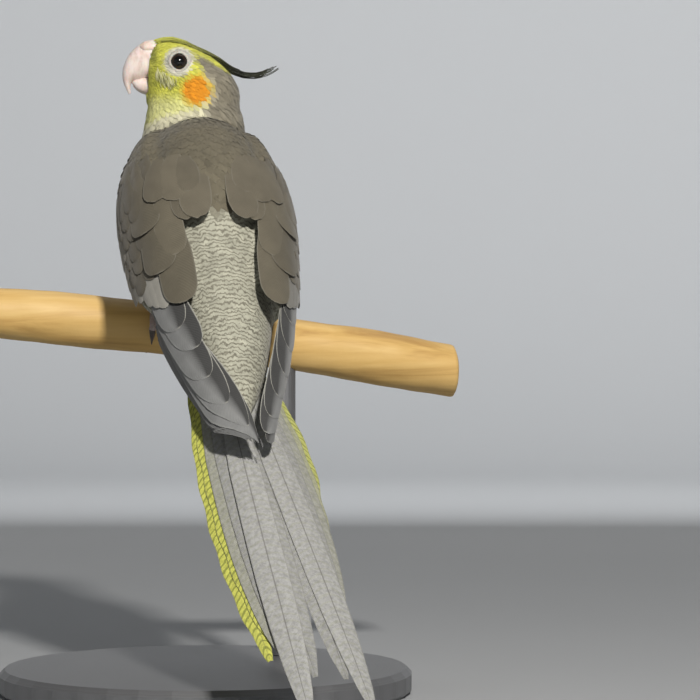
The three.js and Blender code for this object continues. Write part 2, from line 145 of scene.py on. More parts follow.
def fuse(thing, voxel, softness, rounds):  # one closed surface round all that the object holds
    remesh = thing.modifiers.new("remesh", "REMESH")
    remesh.mode, remesh.voxel_size = "VOXEL", voxel
    soften = thing.modifiers.new("soften", "SMOOTH")
    soften.factor, soften.iterations = softness, rounds
    thing.data = bpy.data.meshes.new_from_object(thing.evaluated_get(bpy.context.evaluated_depsgraph_get()))
    thing.modifiers.clear()
    thing.data.polygons.foreach_set("use_smooth", [True] * len(thing.data.polygons))


def readStations(table, place):  # half width, back and belly at a place, along a smooth curve
    rows = np.array(table, float)
    p = np.clip(place, rows[0, 0], rows[-1, 0])
    k = np.clip(np.searchsorted(rows[:, 0], p, side="right") - 1, 0, len(rows) - 2)
    a, b = rows[k], rows[k + 1]
    before, after = rows[np.maximum(k - 1, 0)], rows[np.minimum(k + 2, len(rows) - 1)]
    span = (b[..., :1] - a[..., :1])
    t = (p - a[..., 0])[..., None] / span
    m0 = (b - before) / (b[..., :1] - before[..., :1]) * span
    m1 = (after - a) / (after[..., :1] - a[..., :1]) * span
    t2, t3 = t * t, t * t * t
    full = (2 * t3 - 3 * t2 + 1) * a + (t3 - 2 * t2 + t) * m0 + (3 * t2 - 2 * t3) * b + (t3 - t2) * m1
    return full[..., 1], full[..., 2], full[..., 3]


def onForm(table, place, angle, lift=0.0):  # spots and normals; angles run down from the back's middle
    half, back, belly = readStations(table, place)
    middle, high = (back + belly) / 2, (back - belly) / 2
    sin, cos = np.sin(angle), np.cos(angle)
    normal = unit(stack(sin / half, 0, cos / high))
    base = stack(half * sin, place, middle + high * cos)
    return base + normal * np.asarray(lift)[..., None], normal


def angleOn(table, points):
    half, back, belly = readStations(table, points[..., 1])
    middle, high = (back + belly) / 2, (back - belly) / 2
    return np.arctan2(points[..., 0] / half, (points[..., 2] - middle) / high)

# Camera where the photograph's was: behind the bird, a little to its left, level with the branch
camera = {
    "azimuth": -12.0, "distance": 1.0, "pixel": 0.00036, "sensor": 36,
    "branchAt": (193, 332), "frame": 700,  # pixels
}
viewAngle = math.radians(camera["azimuth"])
sight = Vector((-math.sin(viewAngle), math.cos(viewAngle), 0))
rightward = Vector((math.cos(viewAngle), math.sin(viewAngle), 0))
halfFrame = camera["frame"] / 2
aimAt = Vector(perchMiddle * mm) + rightward * ((halfFrame - camera["branchAt"][0]) * camera["pixel"])
aimAt += Vector((0, 0, (camera["branchAt"][1] - halfFrame) * camera["pixel"]))


def facing(spot, way):
    return Matrix.Translation(spot) @ way.to_track_quat("-Z", "Y").to_matrix().to_4x4()


cameraData = bpy.data.cameras.new("camera")
cameraData.sensor_width = camera["sensor"]
cameraData.lens = camera["sensor"] * camera["distance"] / (camera["pixel"] * camera["frame"])
scene.camera = addObject("camera", cameraData)
scene.camera.matrix_world = facing(aimAt - sight * camera["distance"], sight)
scene.view_settings.view_transform = "Standard"

# Stage: a round floor that curves up into a wall on every side, well outside the camera's orbit; its paint is
# pale out at the wall and darkens towards the middle as painted shade round the model
stageLook = {
    "floorReach": 1.7, "curve": 1.0, "steps": 12, "wallTop": 1.7, "paintedShadeReach": 2.7,
    # painted shade: the floor's tone darkens from the wall in towards the middle
    "paintedShade": [(0.1, (0.36, 0.37, 0.38)), (0.55, (0.62, 0.635, 0.645)), (1.0, (0.86, 0.875, 0.885))],
}
bm = bmesh.new()
profile = [(0.0001, 0)]
for step in range(stageLook["steps"] + 1):
    turn = math.radians(90 * step / stageLook["steps"])
    profile.append((stageLook["floorReach"] + stageLook["curve"] * math.sin(turn),
                    stageLook["curve"] * (1 - math.cos(turn))))
profile.append((stageLook["floorReach"] + stageLook["curve"], stageLook["wallTop"]))
profile = [bm.verts.new((out, 0, up)) for out, up in profile]
for a, b in zip(profile, profile[1:]):
    bm.edges.new((a, b))
bmesh.ops.spin(bm, geom=bm.verts[:] + bm.edges[:], axis=(0, 0, 1), cent=(0, 0, 0), steps=72,
               angle=math.tau, use_merge=True)
bmesh.ops.recalc_face_normals(bm, faces=bm.faces)
floor = addObject("floor", smoothed(bm, "floor"))


# Materials
def newMaterial(name, roughness=0.6, **sockets):
    material = bpy.data.materials.new(name)
    material.use_nodes = True
    shader = material.node_tree.nodes["Principled BSDF"]
    shader.inputs["Roughness"].default_value = roughness
    for socket, value in sockets.items():
        shader.inputs[socket.replace("_", " ")].default_value = value
    return material, Graph(material.node_tree, shader)


class Graph:  # short hands for joining shader nodes
    def __init__(self, tree, shader):
        self.tree, self.shader = tree, shader

    def node(self, kind, sockets=None, **settings):
        made = self.tree.nodes.new(kind)
        for key, value in settings.items():
            setattr(made, key, value)
        for socket, value in (sockets or {}).items():
            self.set(made.inputs[socket], value)
        return made

    def set(self, socket, value):
        if isinstance(value, bpy.types.NodeSocket):
            self.tree.links.new(value, socket)
        else:
            socket.default_value = value

    def math(self, operation, *values, clamp=False):
        made = self.node("ShaderNodeMath", operation=operation, use_clamp=clamp)
        for k, value in enumerate(values):
            self.set(made.inputs[k], value)
        return made.outputs[0]

    def mix(self, share, a, b, blend="MIX"):
        made = self.node("ShaderNodeMix", data_type="RGBA", blend_type=blend)
        for socket, value in (("Factor", share), ("A", a), ("B", b)):
            found = [s for s in made.inputs if s.name == socket and s.enabled]
            if socket != "Factor" and not isinstance(value, bpy.types.NodeSocket) and len(value) == 3:
                value = (*value, 1)
            self.set(found[0], value)
        return [s for s in made.outputs if s.enabled][0]

    def ramp(self, value, stops, kind="LINEAR"):
        made = self.node("ShaderNodeValToRGB", {"Fac": value})
        made.color_ramp.interpolation = kind
        while len(made.color_ramp.elements) < len(stops):
            made.color_ramp.elements.new(0.5)
        for element, (place, colour) in zip(made.color_ramp.elements, stops):
            element.position = place
            element.color = (*colour, 1) if len(colour) == 3 else colour
        return made.outputs["Color"]

    def noise(self, scale, detail=3, vector=None, roughness=0.55, distortion=0.0):
        sockets = {"Scale": scale, "Detail": detail, "Roughness": roughness, "Distortion": distortion}
        made = self.node("ShaderNodeTexNoise", sockets)
        self.set(made.inputs["Vector"], vector or self.objectPlace())
        return made.outputs["Fac"]

    def objectPlace(self):
        return self.node("ShaderNodeTexCoord").outputs["Object"]

    def attribute(self, name, output="Fac"):
        return self.node("ShaderNodeAttribute", attribute_name=name).outputs[output]

    def split(self, vector):
        return self.node("ShaderNodeSeparateXYZ", {"Vector": vector}).outputs

    def fit(self, value, times, plus, clamp=False):
        return self.math("MULTIPLY_ADD", value, times, plus, clamp=clamp)

    def times(self, value, factor, clamp=False):
        return self.math("MULTIPLY", value, factor, clamp=clamp)

    def waves(self, value, times, plus):
        return self.math("SINE", self.fit(value, times, plus))

    def fromAxis(self):  # how far a spot lies from the upright axis
        place = self.split(self.objectPlace())
        squares = [self.math("POWER", place[axis], 2.0) for axis in ("X", "Y")]
        return self.math("SQRT", self.math("ADD", *squares))

    def vane(self):  # how far a spot of a feather lies from its shaft, and how far up it
        place = self.split(self.node("ShaderNodeUVMap", uv_map="vane").outputs["UV"])
        return self.math("ABSOLUTE", self.fit(place["X"], 2.0, -1.0)), place["Y"]

    def speckle(self, scale, dark, pale, vector=None):  # a fine noise, and the two tones that it mixes
        soft = self.noise(scale, 3, vector)
        return soft, self.ramp(soft, [(0.3, dark), (0.7, pale)])

    def placed(self, scale=(1, 1, 1), turn=(0, 0, 0), move=(0, 0, 0), vector=None):
        made = self.node("ShaderNodeMapping", {"Scale": scale, "Rotation": turn, "Location": move})
        self.set(made.inputs["Vector"], vector or self.objectPlace())
        return made.outputs["Vector"]

    def bump(self, height, distance, strength=1.0):
        made = self.node("ShaderNodeBump", {"Height": height, "Distance": distance, "Strength": strength})
        self.set(self.shader.inputs["Normal"], made.outputs["Normal"])

    def colour(self, value):
        self.set(self.shader.inputs["Base Color"], value)


stageMaterial, g = newMaterial("paleFloor", 0.95, Specular_IOR_Level=0.05)
# painted shade: the floor's tone darkens the nearer a spot lies to the upright axis under the model
shade = g.ramp(g.times(g.fromAxis(), 0.37), stageLook["paintedShade"], "EASE")
g.colour(g.mix(g.noise(3.0, 2), shade, g.mix(0.04, shade, (1, 1, 1))))
floor.data.materials.append(stageMaterial)

# Light: a small main lamp near the camera, a wide one that brightens the wall, a weak fill and a top lamp
lamps = {
    "main": {"right": 0.27, "near": 0.98, "up": 0.62, "size": 0.08, "power": 16.0,
             "colour": (1, 0.965, 0.92)},
    "backdrop": {"right": 0.3, "near": -0.9, "up": 0.9, "size": 1.6, "power": 13.5, "colour": (0.97, 0.98, 1),
                 "away": True},
    "fill": {"right": -0.9, "near": 0.8, "up": 0.35, "size": 0.9, "power": 0.4, "colour": (0.93, 0.96, 1)},
    "top": {"right": 0.1, "near": -0.5, "up": 1.1, "size": 0.7, "power": 2.2, "colour": (1, 1, 1)},
}
surroundings = {"colour": (0.9, 0.92, 0.95, 1), "strength": 0.11}
lampsAim = Vector((0, 0, 0.13))
for name, lamp in lamps.items():
    lampData = bpy.data.lights.new(name, "AREA")
    lampData.size, lampData.energy, lampData.color = lamp["size"], lamp["power"], lamp["colour"]
    spot = lampsAim + rightward * lamp["right"] - sight * lamp["near"] + Vector((0, 0, lamp["up"]))
    addObject(name, lampData).matrix_world = facing(spot, sight if lamp.get("away") else lampsAim - spot)
world = bpy.data.worlds.new("surroundings")
world.use_nodes = True
world.node_tree.nodes["Background"].inputs["Color"].default_value = surroundings["colour"]
world.node_tree.nodes["Background"].inputs["Strength"].default_value = surroundings["strength"]
scene.world = world
print("stage, camera and lamps made")

# Skin: the flesh nodes and the folded wings' beds as one smooth surface, a coat's depth inside them
skinLook = {"voxel": 0.0011, "swell": 0.0004, "bodyDepth": 0.0013, "headDepth": 0.0007, "softness": 0.5,
            "smoothing": 8}
flesh = ("torso", "neck", "head", "leg_left", "leg_right", "undertail")
wingBed = {"from": -33.0, "to": 52.0, "sunk": -1.4, "lift": 3.2, "thick": 5.0}
mantle = {"from": -6.0, "to": 44.0, "fill": 3.2}  # the back between the wings, filled a little
headFill = [((0, 6.9, 5.0), (7.4, 5.5, 5.2)), ((0, 9.0, -12.0), (5.8, 5.2, 4.6))]  # middle and reach


def bedEdges(place):  # angles of a wing bed's upper and lower edges
    return mixed(24.0, 40.0, (place + 54) / 100), mixed(84.0, 118.0, np.clip((place + 54) / 50, 0, 1))


bm = bmesh.new()
for name in flesh:
    bm.from_mesh(nodes[name].data)
bmesh.ops.remove_doubles(bm, verts=bm.verts, dist=1e-6)
bm.normal_update()
for vert in bm.verts:
    spot = toBody(vert.co)
    between = 1 - smooth(math.degrees(abs(math.atan2(spot[0], spot[2]))), 30, 62)
    between *= (smooth(spot[1], mantle["from"] - 6, mantle["from"] + 8)
                * (1 - smooth(spot[1], mantle["to"] - 8, mantle["to"] + 6)))
    vert.co += vert.normal * (skinLook["swell"] + mantle["fill"] * mm * float(between))
for side in (-1, 1):
    bed = bmesh.ops.create_grid(bm, x_segments=18, y_segments=12, size=1)["verts"]
    for vert in bed:
        place = mixed(wingBed["from"], wingBed["to"], (vert.co.x + 1) / 2)
        low, high = bedEdges(place)
        angle = side * math.radians(mixed(low, high, (vert.co.y + 1) / 2))
        inward = min(1, 8 * (1 - abs(vert.co.x)), 3 * (1 - abs(vert.co.y)))
        lift = mixed(wingBed["sunk"], wingBed["lift"], inward)
        vert.co = fromBody(onForm(wingShape, np.array(place), np.array(angle), lift)[0])
    faces = list(dict.fromkeys(face for vert in bed for face in vert.link_faces))
    bm.normal_update()
    centre = faces[len(faces) // 2]
    if centre.normal.dot(centre.calc_center_median() - Vector(fromBody((0.0, 0.0, 0.0)))) < 0:
        bmesh.ops.reverse_faces(bm, faces=faces)
    grown = bmesh.ops.solidify(bm, geom=faces, thickness=wingBed["thick"] * mm)["geom"]
    shell = [face for vert in bed for face in vert.link_faces]
    shell += [face for face in grown if isinstance(face, bmesh.types.BMFace)]
    bmesh.ops.recalc_face_normals(bm, faces=list(dict.fromkeys(shell)))
for spot, reach in headFill:
    for vert in bmesh.ops.create_uvsphere(bm, u_segments=24, v_segments=16, radius=1)["verts"]:
        vert.co = fromHead(np.array(vert.co) * reach + spot)
skin = addObject("skin", smoothed(bm, "skin"))
fuse(skin, skinLook["voxel"], skinLook["softness"], skinLook["smoothing"])
skin.data.name = "skin"
places = vertexValues(skin)
depth = mixed(skinLook["bodyDepth"], skinLook["headDepth"], smooth(toHead(places)[:, 2], -26, -12))
places -= vertexValues(skin, "vertex_normals", "vector") * (depth + skinLook["swell"])[:, None]
skin.data.vertices.foreach_set("co", places.astype(np.float32).ravel())
skin.data.update()
skinNormals = vertexValues(skin, "vertex_normals", "vector")
skinFaces = [tuple(face.vertices) for face in skin.data.polygons]
skinQuads = np.array([face if len(face) == 4 else (*face, face[-1]) for face in skinFaces])
skinTree = BVHTree.FromPolygons([Vector(place) for place in places], skinFaces)
print("skin:", len(skin.data.polygons), "faces")


def onSkin(points, heights):  # each point moves to its height over the skin
    spots, faces = np.empty_like(points), np.empty(len(points), int)
    for k, point in enumerate(points):
        spots[k], _, faces[k], _ = skinTree.find_nearest(point)
    corners = skinQuads[faces]
    weights = 1 / (np.linalg.norm(places[corners] - spots[:, None], axis=2) + 1e-5)
    normals = unit((skinNormals[corners] * weights[..., None]).sum(1))
    return spots + normals * np.asarray(heights)[..., None], normals


# Vanes: every feather is a thin closed plate, and thousands of them are joined into one mesh
def meshFromArrays(name, arrays, looks, material):
    mesh = bpy.data.meshes.new(name)
    points, faces = arrays["points"], arrays["faces"]
    mesh.vertices.add(len(points))
    mesh.vertices.foreach_set("co", points.astype(np.float32).ravel())
    mesh.loops.add(faces.size)
    mesh.loops.foreach_set("vertex_index", faces.astype(np.int32).ravel())
    mesh.polygons.add(len(faces))
    mesh.polygons.foreach_set("loop_start", (np.arange(len(faces)) * faces.shape[1]).astype(np.int32))
    mesh.polygons.foreach_set("use_smooth", np.ones(len(faces), bool))
    for mapName in ("OFBake", "vane"):
        corners = arrays[mapName][faces.ravel()].astype(np.float32)
        mesh.uv_layers.new(name=mapName).data.foreach_set("uv", corners.ravel())
    for look in looks:
        setValues(mesh, look, arrays[look])
    mesh.update(calc_edges=True)
    ends = np.empty(len(mesh.edges) * 2, np.int32)
    mesh.edges.foreach_get("vertices", ends)
    sharp = arrays["rim"][ends.reshape(-1, 2)].all(1)
    mesh.attributes.new("sharp_edge", "BOOLEAN", "EDGE").data.foreach_set("value", sharp)
    made = addObject(name, mesh)
    mesh.materials.append(material)
    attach(made, "root")
    return made


def bothSides(grid, drop=0):  # a vane's upper grid, then the inner points of its underside, as rows
    size = grid.shape[-1]
    return np.concatenate([grid.reshape(-1, size), (grid[1:-1, 1:-1] - drop).reshape(-1, size)])


def vaneGrid(v, u):  # one vane's faces, map and rim; its underside shares the upper grid's rim
    rows, columns = len(v), len(u)
    upper = np.arange(rows * columns).reshape(rows, columns)
    under = upper.copy()
    inner = (rows - 2) * (columns - 2)
    under[1:-1, 1:-1] = rows * columns + np.arange(inner).reshape(rows - 2, columns - 2)
    faces = []
    for grid, order in ((upper, (0, 1, 2, 3)), (under, (3, 2, 1, 0))):
        corners = np.stack([grid[:-1, :-1], grid[:-1, 1:], grid[1:, 1:], grid[1:, :-1]], -1).reshape(-1, 4)
        faces.append(corners[:, order])
    vv, uu = np.meshgrid(v, u, indexing="ij")
    onRim = (vv == v[0]) | (vv == v[-1]) | (uu == u[0]) | (uu == u[-1])
    return (np.concatenate(faces), bothSides(np.stack([(uu + 1) / 2, vv], -1)),
            np.concatenate([onRim.ravel(), np.zeros(inner, bool)]))


def joinVanes(points, grid):  # the arrays of many vanes that share one grid
    faces, local, rim = grid
    size = len(rim)
    count = len(points) // size
    return {"points": points, "faces": (faces + np.arange(count)[:, None, None] * size).reshape(-1, 4),
            "vane": np.tile(local, (count, 1)), "owner": np.repeat(np.arange(count), size),
            "rim": np.tile(rim, count)}


def layVanes(roots, along, out, length, width, shape, settle, thick, seeds=None):
    # shape gives the rows, the columns, the width's share, the tip's roundness, the rise and the crown
    v, u = np.array(shape["rows"]), np.array(shape["columns"])
    count = len(roots)
    up = v[None, :, None]
    across = unit(np.cross(along, out))
    share = np.interp(v, *zip(*shape["outline"]))
    lengthwise = np.repeat(up - shape["round"] * (u[None, None, :] ** 2) * (up**3), count, 0)
    if shape.get("ragged"):
        lengthwise += shape["ragged"] * rng.uniform(-1, 1, lengthwise.shape) * (up > 0.55)
    sideways = np.repeat((share[:, None] * u[None, :] / 2)[None], count, 0)
    spots = (roots[:, None, None] + along[:, None, None] * (lengthwise * length[:, None, None])[..., None]
             + across[:, None, None] * (sideways * width[:, None, None])[..., None])
    heights = (shape["sink"] + shape["rise"] * up ** shape.get("risePower", 1.0)
               + shape["crown"] * share[None, :, None] * (1 - u[None, None, :] ** 2))
    heights = np.broadcast_to(heights, spots.shape[:3]).copy()
    if seeds is not None:
        heights += (seeds * shape.get("lifted", 0.0))[:, None, None] * up
    upper, normals = settle(spots.reshape(-1, 3), heights.reshape(-1) * mm)
    upper, normals = upper.reshape(spots.shape), normals.reshape(spots.shape)
    inner = upper[:, 1:-1, 1:-1] - normals[:, 1:-1, 1:-1] * (thick * mm)
    points = np.concatenate([upper.reshape(count, -1, 3), inner.reshape(count, -1, 3)], 1)
    return joinVanes(points.reshape(-1, 3), vaneGrid(v, u))


# Markings: the same functions colour the skin and the coat
tones = {
    "mantle": (0.128, 0.113, 0.077), "rump": (0.405, 0.40, 0.318), "yellow": (0.60, 0.60, 0.085),
    "paleYellow": (0.66, 0.66, 0.30), "olive": (0.26, 0.27, 0.035), "cream": (0.60, 0.57, 0.44),
    "orange": (0.70, 0.27, 0.012), "amber": (0.66, 0.45, 0.04), "halo": (0.52, 0.48, 0.35),
    "nape": (0.215, 0.195, 0.145), "breast": (0.20, 0.18, 0.145), "belly": (0.34, 0.32, 0.235),
    "vent": (0.5, 0.49, 0.25), "eyeRim": (0.62, 0.6, 0.55),
}
cheek = {"centre": (-6.3, -10.6), "reach": 5.2, "squash": 0.94}
markingLines = {  # edges of the markings in the head's frame: pairs of lists, from a place to a place
    "collar": ((-26, -20, -8, 4, 12), (-23.5, -22.5, -22.2, -24.5, -28)),
    "behind": ((-26, -18, -16, -12, -9, -6, -4, 0, 4, 12),
               (-8, -9, -10.5, -12.3, -12.8, -11, -8.8, -6.6, -4.6, -2)),
    "crown": ((-20, -14, -9, -2, 4), (-4.8, -1.6, 1.4, 4.6, 6.4)),
}


def paint(base, layers):
    for key, share in layers:
        base = blended(base, tones[key], np.clip(share, 0, 1))
    return base


def markings(points):
    # colour and strength of the fine bars at points of the plumage
    head, body = toHead(points), toBody(points)
    x, y, z = np.abs(head[:, 0]), head[:, 1], head[:, 2]
    along, top = body[:, 1], body[:, 2]
    wobble = np.sin(x * 1.7 + y * 1.1) * 0.5 + np.sin(z * 1.9 - y * 0.7) * 0.5
    rump = smooth(-along + 0.12 * np.abs(body[:, 0]), 4.5, 7.5) * smooth(top + 0.12 * along, -9, -3)
    colour = paint(np.tile(tones["mantle"], (len(points), 1)), (
        ("breast", smooth(-top, -8, 6)),
        ("belly", smooth(-top, 0, 16) * smooth(-along, -34, 4)),
        ("rump", rump),
        ("vent", smooth(-along, 48, 70) * smooth(-top, -3, 4)),
    ))
    collar = np.interp(y, *markingLines["collar"])
    onHead = smooth(z - collar, -1.8, 1.2)
    yellow = np.maximum(smooth(y - np.interp(z, *markingLines["behind"]) + wobble * 0.7, -1.2, 1.2),
                        smooth(z - np.interp(y, *markingLines["crown"]), -0.8, 0.8))
    away = np.hypot(y - cheek["centre"][0], (z - cheek["centre"][1]) * cheek["squash"]) + wobble * 0.5
    edge = -cheek["reach"]
    onSide = smooth(x, 3.5, 6)
    halo = smooth(-away, edge - 3.4, edge - 1.0) * smooth(-y, 7, 10)
    fromEye = np.hypot(y, z)
    face = paint(np.tile(tones["nape"], (len(points), 1)), (
        ("yellow", yellow),
        ("paleYellow", yellow * smooth(-z, 10, 17) * 0.85),
        ("olive", yellow * smooth(y, 7.2, 9.2) * smooth(z, -1.5, 1.5) * 0.9),
        ("olive", yellow * smooth(y, 5, 9) * smooth(-np.abs(z + 5), -4.5, -2) * 0.35),
        ("olive", yellow * smooth(-y, 6, 15) * smooth(z, -1, 5) * 0.6),
        ("olive", smooth(y, 8, 13) * smooth(-z, 11, 15) * 0.6),
        ("cream", smooth(collar - z, -6.0, -3.0) * smooth(y, -13, -8) * 0.85),
        ("halo", halo * onSide * (0.62 + 0.3 * wobble)),
        ("amber", smooth(-away, edge - 1.6, edge + 0.2) * onSide * 0.8),
        ("orange", smooth(-away, edge - 0.3, edge + 1.5) * onSide),
        ("eyeRim", smooth(-fromEye, -6.4, -4.6) * onSide * 0.9),
        ("yellow", smooth(-np.abs(fromEye - 6.6), -1.0, -0.2) * smooth(-z, 2.0, 4.5) * onSide),
    ))
    return blended(colour, face, onHead), rump * (1 - onHead)


def unwrap(points):
    # where a root lies on the skin laid flat: around and along the trunk, with the head beside it
    head, body = toHead(points), toBody(points)
    onHead = head[:, 2] > -24
    around = np.where(onHead, np.arctan2(head[:, 0], -head[:, 1]), np.arctan2(body[:, 0], body[:, 2]))
    share = around / math.tau + 0.5
    across = np.where(onHead, 0.68 + 0.29 * share, 0.03 + 0.6 * share)
    up = np.where(onHead, 0.03 + 0.94 * (head[:, 2] + 26) / 40, 0.03 + 0.94 * (body[:, 1] + 115) / 190)
    return np.clip(np.stack([across, up], -1), 0.01, 0.99)


patch = 0.003  # the side of one feather's patch on the bake map


def coatPiece(name, groups):
    # joins laid vanes into one piece, each with its own tint, edge and bars
    start, joined = 0, {}
    for laid, roots, looks in groups:
        owner = laid["owner"]
        local = laid.pop("local", laid["vane"])
        rows = {
            "points": laid["points"], "faces": laid["faces"] + start,
            "rim": laid["rim"], "vane": laid["vane"],
            "OFBake": unwrap(roots)[owner] + (local - 0.5) * patch,
            "tint": looks["tint"][owner] if len(looks["tint"]) == len(roots) else looks["tint"],
            "edge": np.broadcast_to(looks.get("edge", 0.0), len(owner)),
            "bars": np.broadcast_to(looks.get("bars", 0.0), len(roots))[owner],
        }
        for key, values in rows.items():
            joined.setdefault(key, []).append(values)
        start += len(laid["points"])
    joined = {key: np.concatenate(values) for key, values in joined.items()}
    made = meshFromArrays(name, joined, ("tint", "edge", "bars"), coatMaterial)
    print(name, len(made.data.polygons) * 2, "triangles")
    return made


plumage = {
    "barbs": 9.0, "streak": 0.035, "relief": 0.00002, "sheen": 0.15, "slant": -0.55,
    "edgeTone": (0.5, 0.495, 0.44),
    "barGap": 0.00175, "barWander": 24.0, "barShare": 0.85, "barTone": (0.15, 0.14, 0.105),
}


def plumageMaterial():
    material, g = newMaterial("plumage", 0.72, Sheen_Weight=plumage["sheen"], Specular_IOR_Level=0.25)
    side, up = g.vane()
    tint, edge, bars = g.attribute("tint", "Color"), g.attribute("edge"), g.attribute("bars")
    cloud = g.noise(900.0, 3)
    slant = g.fit(side, plumage["slant"], up)
    barb = g.waves(slant, math.tau * plumage["barbs"], g.times(cloud, 5.0))
    shade = g.fit(barb, plumage["streak"] * 0.5, 1.0 - plumage["streak"] * 0.5)
    shade = g.times(shade, g.fit(g.noise(160.0, 3), 0.45, 0.78))
    grey = g.node("ShaderNodeCombineColor", {"Red": shade, "Green": shade, "Blue": shade}).outputs[0]
    colour = g.mix(1.0, tint, grey, "MULTIPLY")
    rim = g.fit(g.math("MAXIMUM", side, g.fit(up, 1.1, -0.12)), 11.0, -10.0)
    rim = g.math("SMOOTH_MIN", g.math("MAXIMUM", rim, 0.0), 1.0, 0.1)
    colour = g.mix(g.times(rim, edge, clamp=True), colour, plumage["edgeTone"])
    bodySpace = g.placed(vector=g.objectPlace(), turn=(-math.radians(bird["pitch"]), 0, 0))
    wobble = g.noise(330.0, 4, g.placed(scale=(1, 0.5, 1), vector=bodySpace), 0.6)
    wander = g.times(wobble, plumage["barWander"])
    wave = g.waves(g.split(bodySpace)["Y"], math.tau / plumage["barGap"], wander)
    barred = g.times(g.fit(wave, 1.2, -0.08, clamp=True), bars)
    g.colour(g.mix(g.times(barred, plumage["barShare"]), colour, plumage["barTone"]))
    g.bump(barb, plumage["relief"], 0.6)
    return material


# Contour coat: roots scattered over the skin, then a vane laid from each
triangles = np.concatenate([skinQuads[:, [0, 1, 2]], skinQuads[:, [0, 2, 3]]])


def scatter(gapAt, chanceAt, tries):
    # spread roots evenly over the skin, no nearer than the gap in millimetres at their place
    corners = places[triangles]
    middles = corners.mean(1)
    areas = np.linalg.norm(np.cross(corners[:, 1] - corners[:, 0], corners[:, 2] - corners[:, 0]), axis=1)
    chance = areas * chanceAt(middles) / gapAt(middles) ** 2
    picks = rng.choice(len(triangles), tries, p=chance / chance.sum())
    a, b = rng.random((2, tries))
    a, b = np.where(a + b > 1, 1 - a, a), np.where(a + b > 1, 1 - b, b)
    first, second, third = corners[picks].transpose(1, 0, 2)
    spots = first + a[:, None] * (second - first) + b[:, None] * (third - first)
    gaps = gapAt(spots) * mm
    cell = gaps.max()
    cells = np.floor(spots / cell).astype(int)
    taken, kept = {}, []
    around = [(i, j, k) for i in (-1, 0, 1) for j in (-1, 0, 1) for k in (-1, 0, 1)]
    for n, (spot, key, gap) in enumerate(zip(spots.tolist(), cells.tolist(), gaps.tolist())):
        near = False
        for i, j, k in around:
            for x, y, z in taken.get((key[0] + i, key[1] + j, key[2] + k), ()):
                if (x - spot[0]) ** 2 + (y - spot[1]) ** 2 + (z - spot[2]) ** 2 < gap * gap:
                    near = True
                    break
            if near:
                break
        if not near:
            taken.setdefault(tuple(key), []).append(spot)
            kept.append(n)
    return spots[kept]


def lieAt(points, normals):
    # the way the coat lies, from each feather's root to its tip
    head = toHead(points)
    high, forward = points[:, 2] / mm - perchMiddle[2], points[:, 1] / mm - perchMiddle[1]
    way = blended(-bodyAxes[:, 1], (0.0, -0.3, -0.95), smooth(high, 44, 62))
    way = blended(way, (0.0, 0.25, -0.97), smooth(-high, -27, -20) * smooth(forward, -26, -19))
    faceWay = blended((0, -0.45, -0.9), (0, -1, -0.12), smooth(head[:, 2], -16, 5))
    faceWay = faceWay + np.outer(smooth(-head[:, 1], 8, 20) * smooth(-head[:, 2], 0, 8), (0, 0, -0.5))
    return alongSurface(blended(way, faceWay @ headAxes.T, smooth(head[:, 2], -27, -15)), normals)


def jittered(way, normals, degrees):
    turn = np.radians(rng.normal(0, degrees, len(way)))[:, None]
    return way * np.cos(turn) + np.cross(normals, way) * np.sin(turn)


def headGap(points):
    head = toHead(points)
    fromFace = np.linalg.norm((head - (0, 7, -3)) * (0.7, 1, 0.9), axis=1)
    return mixed(0.62, 1.35, smooth(fromFace, 8, 24))


def headChance(points):
    head = toHead(points)
    fromEye = np.linalg.norm(head - stack(np.sign(head[:, 0]) * 10.6, 0, 0), axis=1)
    beakFront = smooth(head[:, 1], mixed(10.6, 11.8, smooth(head[:, 2], 4, 7)), 12.4)
    beakFront = beakFront * smooth(head[:, 2], -13.2, -12.4)
    return (fromEye > 4.3) * (1 - beakFront) * (head[:, 2] > -25.5) + 1e-9


vaneShapes = {
    "face": {"rows": [0, 0.4, 0.78, 1], "columns": [-1, 0, 1],
             "outline": [(0, 0.45), (0.4, 0.95), (0.78, 0.8), (1, 0.25)],
             "round": 0.12, "ragged": 0.05, "sink": -0.05, "rise": 0.42, "crown": 0.16, "risePower": 0.8},
    "body": {"rows": [0, 0.35, 0.62, 0.84, 1], "columns": [-1, -0.5, 0, 0.5, 1],
             "outline": [(0, 0.35), (0.35, 0.9), (0.62, 1), (0.84, 0.86), (1, 0.42)],
             "round": 0.16, "ragged": 0.02, "sink": -0.1, "rise": 0.42, "crown": 0.1, "risePower": 0.8},
}
contours = {  # length and width as times the gap between roots, and jitter in degrees
    "face": {"length": 3.4, "width": 1.45, "spread": (0.8, 1.2), "jitter": 8, "toneJitter": 0.09,
             "thick": 0.1},
    "body": {"length": 3.7, "width": 2.3, "spread": (0.85, 1.15), "jitter": 7, "toneJitter": 0.06,
             "thick": 0.14},
}
coatMaterial = plumageMaterial()


def offWingFolds(roots, normals):  # roots that aren't on the steep inner sides of the folded wings' beds
    body = toBody(roots)
    angle = angleOn(trunkShape, body)
    _, formNormals = onForm(trunkShape, body[:, 1], angle)
    steep = ((formNormals @ bodyAxes.T) * normals).sum(1) < 0.8
    return ~(steep & (body[:, 1] < 8) & (np.abs(angle) < 1.2))


def addContour(name, gapAt, chanceAt, tries, shape, edge):
    look = contours[shape]
    roots = scatter(gapAt, chanceAt, tries)
    _, normals = onSkin(roots, 0.0)
    if shape == "body":
        kept = offWingFolds(roots, normals)
        roots, normals = roots[kept], normals[kept]
    gaps = gapAt(roots)
    way = jittered(lieAt(roots, normals), normals, look["jitter"])
    length = gaps * look["length"] * mm * rng.uniform(*look["spread"], len(roots))
    tint, bars = markings(roots + way * length[:, None] * 0.6)
    tint *= rng.normal(1, look["toneJitter"], (len(roots), 1))
    laid = layVanes(roots, way, normals, length, gaps * look["width"] * mm, vaneShapes[shape], onSkin,
                    look["thick"], rng.uniform(-1, 1, len(roots)))
    coatPiece(name, [(laid, roots, {"tint": tint, "edge": edge, "bars": bars})])


